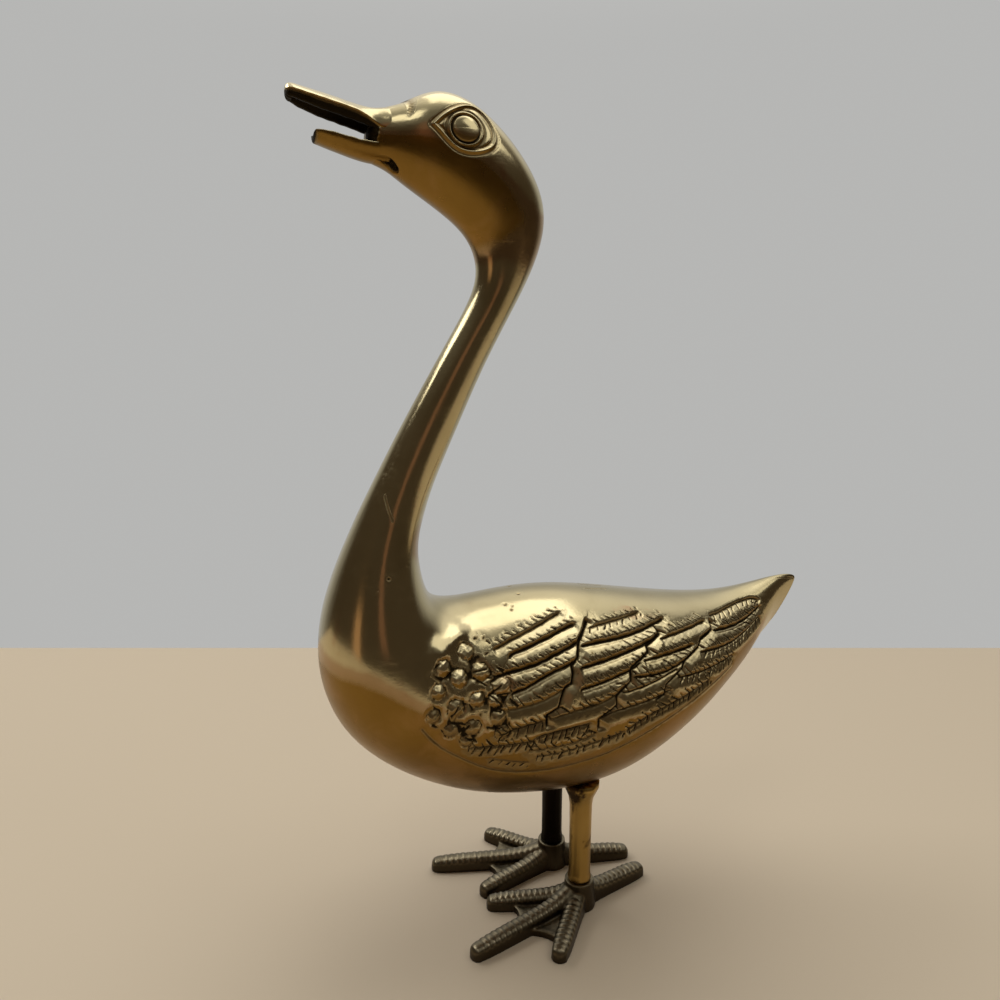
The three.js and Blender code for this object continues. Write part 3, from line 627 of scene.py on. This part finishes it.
def upper_bill():
    """Half of the upper bill: a dome over a flat rim, hollow below."""

    def section(v, step, low, high, half):
        shoulder = low + 0.5 * (high - low) * ease(step, 0.02, 0.4)
        roof = low + np.minimum(2.4, 0.45 * (high - low)) * ease(step, 0.995, 0.9)
        share = np.clip(v / 0.42, 0, 1)
        turn = share * math.pi / 2
        roof_like = ease(step, 0.02, 0.35)
        y = half * (np.sin(turn) + roof_like * (share - np.sin(turn)))
        drop = np.cos(turn) + roof_like * (1 - share**1.7 - np.cos(turn))
        z = shoulder + (high - shoulder) * drop
        outer, inner = half * 0.93, half * 0.93 - np.minimum(1.6, half * 0.4)
        rim = [
            (0.42, half, shoulder),
            (0.45, half * 0.955, shoulder - 0.15),
            (0.49, half * 0.94, shoulder - 0.3),
            (0.6, outer, low + 0.3),
            (0.63, outer - 0.3, low),
            (0.7, inner + 0.3, low),
            (0.73, inner, low + 0.3),
            (0.82, inner * 0.72, roof - 0.2),
            (1, 0 * half, roof),
        ]
        for (start, start_y, start_z), (end, end_y, end_z) in zip(rim, rim[1:]):
            t = np.clip((v - start) / (end - start), 0, 1)
            here = (v >= start) & (v <= end + 1e-9)
            y = np.where(here, start_y + (end_y - start_y) * t, y)
            z = np.where(here, start_z + (end_z - start_z) * t, z)
        return y, z

    tip_sizes, tip_ahead = (0.97, 0.88, 0.72, 0.5, 0.26, 0), (0.5, 0.95, 1.32, 1.57, 1.7, 1.75)
    bm, points, v, step, _ = half_bill((56, 44), UPPER_BILL, 45, (0, 0.8, 1), tip_sizes, tip_ahead, section)
    patina_and_shade = 0.4 * ease(v, 0.42, 0.46) + 0.55 * ease(v, 0.5, 0.55)
    rough = ease(v, 0.36, 0.44) * ease(v, 1.0, 0.9)
    points[:, 2] += 0.12 * wobble(points, 4.7, 0.8) * rough
    points[:, 1] += 0.1 * wobble(points, 3.9, 2.8) * rough
    settle(bm, points, np.clip(patina_and_shade, 0, 1), 1 + 0.1 * step, 0.3 * v)
    return bm


def lower_bill():
    """Half of the lower bill: nearly flat on top and round below, cut off square at its end."""

    def section(v, step, low, high, half):
        turn = np.clip(v / 0.6, 0, 1) * math.pi / 2
        hollow = 0.9 * ease(v, 0.68, 0.85)
        y = np.where(v < 0.6, half * np.sin(turn), half * np.clip((1 - v) / 0.36, 0, 1))
        return y, np.where(v < 0.6, high - (high - low) * np.cos(turn), high - hollow)

    tip_sizes, tip_ahead = (0.9, 0.7, 0), (0.3, 0.5, 0.6)
    bm, points, v, step, nose = half_bill((48, 30), LOWER_BILL, 41, (0, 1), tip_sizes, tip_ahead, section)
    points[:, 2] += 0.1 * wobble(points, 4.1, 1.8) * ease(v, 0.05, 0.3) * (nose < 0.1)
    patina_and_shade = 0.9 * (v > 0.66) + 0.5 * ease(step, 0.9, 1.0) + 0.3 * ease(nose, 0.1, 0.4)
    settle(bm, points, np.clip(patina_and_shade, 0, 1), 1 + 0.1 * step, 0.7 + 0.3 * v)
    return bm


def mirrored(mesh, name):
    bm = bmesh.new()
    bm.from_mesh(mesh)
    bmesh.ops.scale(bm, vec=(1, -1, 1), verts=bm.verts)
    bmesh.ops.reverse_faces(bm, faces=bm.faces)
    return new_object(name, bm)


def shell():
    bm = left_skin()
    joined(bm, cavity())
    close_on_plane(bm)
    for make in (upper_bill, lower_bill):
        part = make()
        close_on_plane(part)
        joined(bm, part)
    return new_object("left_shell", bm)


# Legs

LEG_PLACE = Vector((-MIDDLE * MM, -LEG_SPACING / 2 * MM, 0))
# The radius and the height of the points down a leg and down a screw
LEG_PROFILE = [(0, 11), (4.2, 11), (4.7, 11.5), (4.8, 12.1), (4.55, 13.2), (4.4, 14.6), (4.35, 24),
               (4.4, 36), (4.5, 43), (5.0, 46.2), (6.1, 48.6), (6.9, 50.4), (7.0, 52.8), (0, 52.8)]
SCREW_PROFILE = [(0, 0.55), (2.7, 0.55), (3.1, 0.75), (3.25, 1.0), (1.7, 2.3), (1.7, 19.8), (1.4, 20),
                 (0, 20)]


def turned(profile, steps):
    """A profile turned round the middle line of the left leg."""
    bm = bmesh.new()
    corners = [bm.verts.new(((-MIDDLE + r) * MM, LEG_PLACE.y, z * MM)) for r, z in profile]
    edges = [bm.edges.new(pair) for pair in zip(corners[:-1], corners[1:])]
    bmesh.ops.spin(
        bm,
        geom=corners + edges,
        cent=LEG_PLACE,
        axis=(0, 0, 1),
        angle=2 * math.pi,
        steps=steps,
        use_merge=True,
    )
    weld(bm, 1e-6)
    bmesh.ops.recalc_face_normals(bm, faces=bm.faces)
    return bm


def leg():
    """A leg with eight sides and rounded edges."""
    bm = turned(LEG_PROFILE, 8)
    twist = Matrix.Rotation(math.radians(14), 3, "Z")
    bmesh.ops.rotate(bm, verts=bm.verts, cent=LEG_PLACE, matrix=twist)
    upright = [
        e
        for e in bm.edges
        if abs(e.verts[0].co.z - e.verts[1].co.z) > 1e-5 and e.calc_face_angle(0) > math.radians(15)
    ]
    bmesh.ops.bevel(bm, geom=upright, offset=1.1 * MM, affect="EDGES", segments=4, profile=0.5, material=-1)
    smooth(bm)
    return new_object("left_leg_shaft", bm)


# Feet


def heading(turn):
    a = math.radians(turn)
    return np.array([-math.cos(a), -math.sin(a), 0])


# Slices along a toe: the shares of its length, its width and its height
TOE_SLICES = [
    (0, 1.1, 1.75), (0.1, 1.1, 1.6), (0.22, 1.06, 1.2), (0.4, 1, 1.02),
    (0.65, 1, 1), (0.86, 0.98, 0.94), (0.95, 0.92, 0.88), (1, 0.84, 0.8),
]
TOE_WIDTH, TOE_HEIGHT, BOSS_HEIGHT = 7, 6, 11
TOE_END = 2.4  # how far the round end of a toe reaches
RIB_STEP = 2.45


def toe(length, turn, ribs):
    """A toe with upright sides and a ribbed, rounded top."""
    bm, u, v = flat_grid(120, 36)
    straight = 1 / 1.08  # the share of the columns before the round end
    step = np.clip(u / straight, 0, 1)
    beyond = np.clip((u - straight) / (1 - straight), 0, 1)
    place, wide, high = blended(TOE_SLICES, step * (len(TOE_SLICES) - 1)).T
    nose = np.sqrt(np.clip(1 - beyond**2, 0, 1))
    half = TOE_WIDTH / 2 * wide * nose
    top = TOE_HEIGHT * high * (0.3 + 0.7 * nose)
    bend = np.clip((v - 0.3) / 0.4, 0, 1) * math.pi
    bent, keys = (v > 0.3) & (v < 0.7), [0, 0.3, 0.7, 1]
    across = np.where(bent, 0.93 * np.cos(bend), np.interp(v, keys, [1, 0.93, -0.93, -1]))
    up = np.where(bent, 0.66 + 0.34 * np.sin(bend), np.interp(v, keys, [0, 0.66, 0.66, 0]))
    rib = np.abs(np.sin(math.pi * place * ribs)) ** 0.8
    crest = ease(np.sin(np.clip((v - 0.26) / 0.48, 0, 1) * math.pi), 0.05, 0.45)
    fade = ease(place, 0.1, 0.25) * ease(place, 1.0, 0.93)
    lift = -0.5 * (1 - rib) * crest * fade
    side = (half + 0.4 * lift) * across
    ahead = heading(turn)
    sideways = np.array([-ahead[1], ahead[0], 0])
    base = np.array([0, -LEG_SPACING / 2, 0])
    run = (length - TOE_END) * place + TOE_END * beyond
    points = base + run[:, None] * ahead + side[:, None] * sideways
    points[:, 2] = np.maximum(top * up + lift, 0)
    flatten(points, v, axis=2)
    settle(bm, points)
    weld(bm)
    close_on_plane(bm, axis=2)
    return bm


def web(side):
    """The web between the middle toe and a side toe, with a hollow front edge."""
    base = np.array([0, -LEG_SPACING / 2])
    tips = {name: base + heading(turn)[:2] * size for name, (size, turn) in TOES.items()}
    middle = base + (tips["middle"] - base) * 0.64
    end = base + (tips[side] - base) * 0.82
    root = base + (tips["hind"] - base) * 0.16
    hollow = (middle + end) / 2 * 0.7 + base * 0.3
    bm, u, v = flat_grid(40, 40)
    front = (1 - v[:, None]) ** 2 * middle + 2 * (v * (1 - v))[:, None] * hollow + (v**2)[:, None] * end
    flat = root + (front - root) * u[:, None]
    far = np.linalg.norm(flat - base, axis=1)
    z = 2.6 + 0.5 * ease(far, 22, 6) + 0.5 * ease(u, 0.86, 0.98) - 0.4 * np.sin(math.pi * v) * u
    settle(bm, np.column_stack([flat, z]))
    weld(bm)
    made = bmesh.ops.extrude_face_region(bm, geom=list(bm.faces))
    for item in made["geom"]:
        if isinstance(item, bmesh.types.BMVert):
            item.co.z = 0
    bmesh.ops.recalc_face_normals(bm, faces=bm.faces)
    return bm


def boss():
    bm = bmesh.new()
    place = Matrix.Translation((LEG_PLACE.x, LEG_PLACE.y, BOSS_HEIGHT / 2 * MM))
    low, high = 1.15 * 5.6 * MM, 5.5 * MM
    bmesh.ops.create_cone(
        bm, cap_ends=True, segments=48, radius1=low, radius2=high, depth=BOSS_HEIGHT * MM, matrix=place
    )
    return bm


def corner_values(mesh, name):
    """The place (co) or the normal of each corner of a mesh."""
    values = np.empty(len(mesh.vertices) * 3)
    mesh.vertices.foreach_get(name, values)
    return values.reshape(-1, 3)


def applied(piece):
    """The piece with its modifiers made part of its mesh."""
    graph = bpy.context.evaluated_depsgraph_get()
    mesh = bpy.data.meshes.new_from_object(piece.evaluated_get(graph))
    piece.modifiers.clear()
    piece.data = mesh
    return piece


def foot():
    bm = boss()
    for length, turn in TOES.values():
        joined(bm, toe(length, turn, round(length / RIB_STEP)))
    for side in ("inner", "outer"):
        joined(bm, web(side))
    piece = new_object("left_foot_casting", bm)
    remesh = piece.modifiers.new("cast", "REMESH")
    remesh.mode = "VOXEL"
    remesh.voxel_size = 0.32 * MM
    remesh.use_smooth_shade = True
    soften = piece.modifiers.new("soften", "SMOOTH")
    soften.factor = 0.5
    soften.iterations = 3
    mesh = applied(piece).data
    co = corner_values(mesh, "co")
    co[:, 2] = np.clip(co[:, 2], 0, BOSS_HEIGHT * MM)
    co[co[:, 2] < 0.25 * MM, 2] = 0
    mesh.vertices.foreach_set("co", co.ravel())
    mesh.update()
    edge_relief(mesh, 10, 0.28)
    return piece


def edge_relief(mesh, rounds, scale):
    """Keeps on each corner how far it stands above (or below) the smoothed surface, as relief."""
    co, normal = corner_values(mesh, "co"), corner_values(mesh, "normal")
    count = len(co)
    pairs = np.empty(len(mesh.edges) * 2, int)
    mesh.edges.foreach_get("vertices", pairs)
    a, b = pairs.reshape(-1, 2).T
    degree = np.maximum(np.bincount(a, minlength=count) + np.bincount(b, minlength=count), 1)
    flat = co.copy()
    for _ in range(rounds):
        total = np.zeros_like(flat)
        for k in range(3):
            total[:, k] = np.bincount(a, flat[b, k], count) + np.bincount(b, flat[a, k], count)
        flat = 0.3 * flat + 0.7 * total / degree[:, None]
    amount = ((co - flat) * normal).sum(1) / (scale * MM)
    mesh.attributes.new("relief", "FLOAT", "POINT").data.foreach_set("value", np.clip(amount, -1, 1))


# Foot screws


def screw():
    """A countersunk screw with a slot across its head."""
    bm = turned(SCREW_PROFILE, 32)
    smooth(bm)
    piece = new_object("left_foot_screw_turned", bm)
    cutter = bmesh.new()
    bmesh.ops.create_cube(cutter, size=1)
    bmesh.ops.scale(cutter, vec=(9 * MM, 0.9 * MM, 1.6 * MM), verts=cutter.verts)
    bmesh.ops.translate(cutter, vec=(LEG_PLACE.x, LEG_PLACE.y, 0.5 * MM), verts=cutter.verts)
    slot = new_object("slot_cutter", cutter)
    difference = piece.modifiers.new("slot", "BOOLEAN")
    difference.operation = "DIFFERENCE"
    difference.solver = "EXACT"
    difference.object = slot
    applied(piece)
    bpy.data.objects.remove(slot)
    piece.data.set_sharp_from_angle(angle=math.radians(35))
    return piece


# Materials


class Sum:
    """A socket of a node, so that shader maths reads as an expression."""

    def __init__(self, nodes, socket):
        self.nodes = nodes
        self.socket = socket

    def _math(self, operation, a, b):
        return self.nodes.add("Math", {"operation": operation}, {0: a, 1: b})

    def __add__(self, other):
        return self._math("ADD", self, other)

    def __sub__(self, other):
        return self._math("SUBTRACT", self, other)

    def __rsub__(self, other):
        return self._math("SUBTRACT", other, self)

    def __mul__(self, other):
        return self._math("MULTIPLY", self, other)

    __radd__, __rmul__ = __add__, __mul__


class Nodes:
    """The nodes of a material or of the world."""

    def __init__(self, tree):
        self.tree = tree
        tree.nodes.clear()

    def add(self, kind, settings, inputs, output=0):
        node = self.tree.nodes.new("ShaderNode" + kind)
        for name, value in settings.items():
            setattr(node, name, value)
        for name, value in inputs.items():
            socket = node.inputs[name]
            if isinstance(value, Sum):
                self.tree.links.new(value.socket, socket)
            else:
                socket.default_value = value
        return Sum(self, node.outputs[output])

    def ramp(self, value, low, high, start=0.0, end=1.0):
        """The value from start to end as another goes from low to high."""
        return self.add(
            "MapRange",
            {"interpolation_type": "SMOOTHSTEP"},
            {"Value": value, "From Min": low, "From Max": high, "To Min": start, "To Max": end},
        )

    def mix(self, share, a, b):
        a = (*a, 1) if isinstance(a, tuple) else a
        b = (*b, 1) if isinstance(b, tuple) else b
        settings = {"data_type": "RGBA", "clamp_factor": True}
        return self.add("Mix", settings, {0: share, 6: a, 7: b}, 2)

    def vector(self, operation, a, b=(0, 0, 0), output=0):
        return self.add("VectorMath", {"operation": operation}, {0: a, 1: b}, output)


class Finish(Nodes):
    """A material and its nodes."""

    def __init__(self, name, **plain):
        self.material = bpy.data.materials.new(name)
        self.material.use_nodes = True
        super().__init__(self.material.node_tree)
        output = self.tree.nodes.new("ShaderNodeOutputMaterial")
        self.shader = self.tree.nodes.new("ShaderNodeBsdfPrincipled")
        self.tree.links.new(self.shader.outputs[0], output.inputs["Surface"])
        for socket, value in plain.items():
            self.shader.inputs[socket.replace("_", " ")].default_value = value
        self.place = self.add("TexCoord", {}, {}, "Object")

    def cloudy(self, place, scale, detail, rough, warp):
        inputs = {"Vector": place, "Scale": scale, "Detail": detail, "Roughness": rough, "Distortion": warp}
        return self.add("TexNoise", {}, inputs, "Fac")

    def noise(self, size, detail, stretch=(1, 1, 1), warp=0.0, at=(0, 0, 0)):
        """Noise between 0 and 1, with blobs of about this size in millimetres."""
        inputs = {"Vector": self.place, "Scale": stretch, "Location": at}
        place = self.add("Mapping", {}, inputs)
        return self.cloudy(place, 1 / (size * MM), detail, 0.55, warp)

    def attribute(self, name):
        return self.add("Attribute", {"attribute_name": name}, {}, "Fac")

    def lengthwise(self, around, along):
        """Noise in streaks that run along the goose."""
        place = {"X": self.attribute("around") * around, "Y": self.attribute("along") * (along * 8)}
        return self.cloudy(self.add("CombineXYZ", {}, place), 1.0, 3.0, 0.5, 0.2)

    def reading(self, kind, axis):
        """The X, Y or Z of the place (Object, in metres) or of the direction that a face looks (Normal)."""
        whole = self.add("TexCoord", {}, {}, kind)
        return self.add("SeparateXYZ", {}, {"Vector": whole}, axis)

    def bump(self, value, depth, strength, **under):
        """A bump of this depth in millimetres, on top of the one under it."""
        inputs = {"Height": value, "Distance": depth * MM, "Strength": strength, **under}
        return self.add("Bump", {}, inputs)

    def wear(self, colour, rough, grain):
        for name, value in (("Base Color", colour), ("Roughness", rough), ("Normal", grain)):
            self.tree.links.new(value.socket, self.shader.inputs[name])
        return self.material


def polished_brass():
    """Polished by hand, with brown patina in the cuts, an amber tarnish on the undersides that is partly
    painted shade, a painted reflection band along its edge, and painted copper-coloured reflection streaks.
    """
    f = Finish("polished_brass", Metallic=1.0)
    patina_and_shade = f.attribute("patina_and_shade")
    cloud = f.noise(30, 4, warp=0.4)
    fine = f.noise(5, 5, at=(3, 1, 2))
    streaks = f.lengthwise(9, 1.6)
    along = f.attribute("along")
    neck = f.ramp(along, 0.47, 0.58) * f.ramp(along, 0.86, 0.72)
    # Amber tarnish on the undersides, partly real and partly painted shade: it grows on the faces that look
    # down, outside the neck.
    under = f.ramp(f.reading("Normal", "Z"), 0.2, -0.25) * (1 - neck) * f.ramp(along, 0.06, 0.16)
    under = under + 0.35 * (cloud - 0.5) + 0.1 * (fine - 0.5)
    amber = f.ramp(under, 0.2, 0.5)
    # Painted reflection: an orange-brown band along the upper edge of the amber undersides.
    rim = f.ramp(under, 0.05, 0.2) * f.ramp(under, 0.5, 0.25)
    colour = f.mix(f.ramp(cloud + 0.4 * streaks, 0.55, 1.0), (0.6, 0.51, 0.3), (0.5, 0.42, 0.235))
    # Painted reflection: copper-coloured streaks that run along the goose.
    painted_copper_reflection = f.ramp(streaks + 0.4 * (fine - 0.5), 0.62, 0.72)
    painted_copper_reflection = painted_copper_reflection * f.ramp(f.noise(42, 2, at=(6, 2, 3)), 0.45, 0.6)
    colour = f.mix(0.5 * painted_copper_reflection, colour, (0.5, 0.28, 0.15))
    # Tarnish and painted shade: the down-facing undersides turn dark amber.
    colour = f.mix(amber, colour, f.mix(cloud, (0.31, 0.185, 0.04), (0.21, 0.11, 0.024)))
    # The painted reflection band at the edge of the undersides.
    colour = f.mix(0.55 * rim, colour, (0.3, 0.13, 0.045))
    stain = f.ramp(f.noise(15, 5, at=(1, 7, 4), warp=0.6) + 0.25 * amber, 0.72, 0.9)
    colour = f.mix(0.4 * stain, colour, (0.36, 0.2, 0.07))
    tint = f.ramp(patina_and_shade + 0.25 * (fine - 0.5), 0.12, 0.5)
    colour = f.mix(0.75 * tint, colour, (0.3, 0.21, 0.09))
    # Dark patina in the cuts, together with the painted shade that the attribute carries from the brow
    # crease and the eye.
    dirt_and_shade = f.ramp(patina_and_shade + 0.3 * (fine - 0.5), 0.35, 0.8)
    colour = f.mix(dirt_and_shade, colour, (0.035, 0.025, 0.012))
    scratches = f.noise(1.1, 2, stretch=(0.12, 1, 1), at=(5, 5, 5)) * f.noise(14, 2, at=(9, 2, 1))
    worked = f.ramp(patina_and_shade, 0.03, 0.1)
    rough = 0.17 + 0.12 * amber + 0.1 * (fine - 0.5) + 0.12 * worked + 0.3 * dirt_and_shade
    rough = rough + 0.1 * f.ramp(scratches, 0.3, 0.5)
    swell = f.bump(f.lengthwise(5, 1.2), 0.35, 0.5)
    pitted = worked * f.noise(1.6, 4, at=(8, 8, 1))
    grain = f.bump(f.noise(0.8, 3) + 4 * pitted, 0.03, 0.6, Normal=swell)
    return f.wear(colour, rough, grain)


def leg_brass():
    """Amber brass with dark stains, and the right leg painted nearly black as painted shade."""
    f = Finish("leg_brass", Metallic=1.0)
    cloud = f.noise(9, 5, stretch=(1, 1, 0.45), warp=0.8)
    fine = f.noise(2.4, 4, at=(4, 1, 1))
    top = f.ramp(f.reading("Object", "Z"), 0.038, 0.05)
    # Painted shade: the right leg, on the +Y side, takes more stain and is painted nearly black.
    right = f.ramp(f.reading("Object", "Y"), -0.002, 0.002)
    stain = f.ramp(cloud + 0.35 * top * fine + 0.15 * fine + 0.34 * right, 0.62, 0.82)
    colour = f.mix(f.noise(14, 3, at=(2, 5, 2)), (0.52, 0.35, 0.11), (0.38, 0.23, 0.065))
    colour = f.mix(stain, colour, (0.06, 0.036, 0.016))
    # Painted shade: the right leg nearly black.
    colour = f.mix(0.9 * right, colour, (0.008, 0.006, 0.004))
    rough = 0.3 + 0.25 * stain + 0.12 * (fine - 0.5)
    grain = f.bump(f.noise(1.3, 3), 0.06, 0.6)
    return f.wear(colour, rough, grain)


def foot_bronze():
    f = Finish("foot_bronze", Metallic=1.0)
    relief = f.attribute("relief")
    cloud = f.noise(7, 5, warp=0.5)
    fine = f.noise(1.6, 4, at=(1, 3, 1))
    colour = f.mix(cloud, (0.13, 0.105, 0.065), (0.21, 0.18, 0.12))
    height = f.reading("Object", "Z")
    worn = f.ramp(relief + 0.3 * (cloud - 0.5), 0.2, 0.7) * f.ramp(height, 0.0102, 0.0092)
    worn = worn * f.ramp(height, 0.0035, 0.0045)
    colour = f.mix(worn, colour, (0.62, 0.53, 0.36))
    # Painted shade: faces that look sideways or down are darkened towards near black.
    colour = f.mix(f.ramp(f.reading("Normal", "Z"), 0.5, -0.05, 0.0, 0.88), colour, (0.03, 0.02, 0.012))
    grime = f.ramp(relief, -0.15, -0.8)
    colour = f.mix(grime, colour, (0.03, 0.022, 0.014))
    rough = 0.36 - 0.16 * worn + 0.25 * grime + 0.14 * (fine - 0.5)
    grain = f.bump(f.noise(0.8, 4, at=(2, 2, 2)), 0.09, 0.7)
    return f.wear(colour, rough, grain)


def screw_brass():
    f = Finish("screw_brass", Metallic=1.0)
    cloud = f.noise(2.5, 4)
    colour = f.mix(cloud, (0.42, 0.33, 0.17), (0.6, 0.48, 0.26))
    rough = 0.36 + 0.16 * cloud
    grain = f.bump(f.noise(0.6, 2, stretch=(1, 1, 4)), 0.03, 0.5)
    return f.wear(colour, rough, grain)


# The pieces, each with its right-hand copy's name, the node that it stands for and its finish
for make, right_name, node, finish, slot in (
    (shell, "right_shell", "body_shell", polished_brass, "polished_brass"),
    (leg, "right_leg_shaft", "leg", leg_brass, "leg_brass"),
    (foot, "right_foot_casting", "foot", foot_bronze, "foot_bronze"),
    (screw, "right_foot_screw_turned", "foot_screw", screw_brass, "screw_brass"),
):
    left, material = make(), finish()
    for side, piece in (("left", left), ("right", mirrored(left.data, right_name))):
        piece.data.materials.append(material)
        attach(piece, "root")
        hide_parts(f"{side}_{node}")

# The table top, the light and the camera

TABLE_COLOUR = (0.74, 0.62, 0.46)
WALL_COLOUR = (0.47, 0.47, 0.46)
TABLE = (1.9, 0.83)  # metres across and from front to back
TABLE_MIDDLE = (0, -0.176)  # seen along the camera's heading
HEADING = math.radians(-20.5)
CAMERA_PLACE, CAMERA_WAY, CAMERA_LENS = (-0.12768, -0.25354, 0.217), (0.3425, 0.9162, -0.2079), 28.44


def table_top():
    bm = bmesh.new()
    bmesh.ops.create_grid(bm, x_segments=1, y_segments=1, size=0.5)
    bmesh.ops.scale(bm, vec=(*TABLE, 1), verts=bm.verts)
    bmesh.ops.translate(bm, vec=(*TABLE_MIDDLE, 0), verts=bm.verts)
    bmesh.ops.rotate(bm, verts=bm.verts, cent=(0, 0, 0), matrix=Matrix.Rotation(HEADING, 3, "Z"))
    top = new_object("table_top", bm)
    top.data.materials.append(Finish("table_paint", Roughness=0.7, Base_Color=(*TABLE_COLOUR, 1)).material)


def aimed(thing, place, way):
    """Puts a lamp or a camera in its place and turns it to look a way."""
    thing.location = place
    thing.rotation_euler = Vector(way).to_track_quat("-Z", "Y").to_euler()


def lamp(name, place, aim, size, power, colour):
    light = bpy.data.lights.new(name, "AREA")
    light.shape = "RECTANGLE"
    light.size, light.size_y = size
    light.energy = power
    light.color = colour
    aimed(linked(name, light), place, Vector(aim) - Vector(place))


def room():
    """The world: a pale wall behind with a bright ceiling above it, and a dim room with two warm
    strips in front."""
    world = bpy.data.worlds.new("room")
    bpy.context.scene.world = world
    world.use_nodes = True
    nodes = Nodes(world.node_tree)
    way = nodes.add("TexCoord", {}, {}, "Generated")
    height = nodes.add("SeparateXYZ", {}, {"Vector": way}, "Z")
    level = nodes.vector("NORMALIZE", nodes.vector("MULTIPLY", way, (1, 1, 0)))

    def towards(turn, rise=None):
        a, b = math.radians(turn), math.radians(rise or 0)
        aim = (math.cos(b) * math.cos(a), math.cos(b) * math.sin(a), math.sin(b))
        return nodes.vector("DOT_PRODUCT", way if rise else level, aim, "Value")

    colour = (0.06, 0.045, 0.03)
    for turn, half, low, high, warm in (
        (199, 9, -0.2, 0.25, (0.45, 0.27, 0.15)),
        (254, 8, 0.05, 0.7, (0.2, 0.11, 0.07)),
    ):
        edge = math.cos(math.radians(half))
        share = nodes.ramp(towards(turn), edge, (edge + 1) / 2)
        share = share * nodes.ramp(height, low - 0.1, low + 0.1) * nodes.ramp(height, high + 0.1, high - 0.1)
        colour = nodes.mix(share, colour, warm)
    colour = nodes.mix(nodes.ramp(height, 0.5, 0.8), colour, (0.17, 0.16, 0.14))
    colour = nodes.mix(nodes.ramp(height, 0.88, 0.98), colour, (0.5, 0.49, 0.46))
    wall = nodes.mix(nodes.ramp(height, 0.3, 0.75), WALL_COLOUR, (0.95, 0.93, 0.9))
    colour = nodes.mix(nodes.ramp(towards(68), 0.3, 0.85), colour, wall)
    colour = nodes.mix(nodes.ramp(towards(55, 65), 0.8, 0.95), colour, (1.0, 0.98, 0.94))
    light = nodes.add("Background", {}, {"Color": colour, "Strength": 1.0})
    out = world.node_tree.nodes.new("ShaderNodeOutputWorld")
    world.node_tree.links.new(light.socket, out.inputs[0])


def camera():
    data = bpy.data.cameras.new("camera")
    data.sensor_width = 36
    data.lens = CAMERA_LENS
    data.clip_start = 0.01
    eye = linked("camera", data)
    aimed(eye, CAMERA_PLACE, CAMERA_WAY)
    bpy.context.scene.camera = eye


table_top()
room()
lamp("window", (0.5, -0.31, 0.96), (-0.05, 0, 0.12), (0.55, 0.45), 0.8, (1, 0.98, 0.92))
lamp("ceiling", (0.28, 0.25, 1.2), (0.28, 0.25, 0), (0.75, 0.7), 2.1, (1, 0.99, 0.96))
lamp("left", (-0.55, 0.5, 0.85), (0, 0, 0.1), (0.5, 0.4), 2.2, (1, 0.99, 0.97))
lamp("brow", (-0.42, -0.4, 1.15), (-0.03, 0, 0.25), (0.3, 0.3), 0.5, (1, 0.99, 0.94))
camera()
bpy.context.scene.view_settings.view_transform = "Standard"
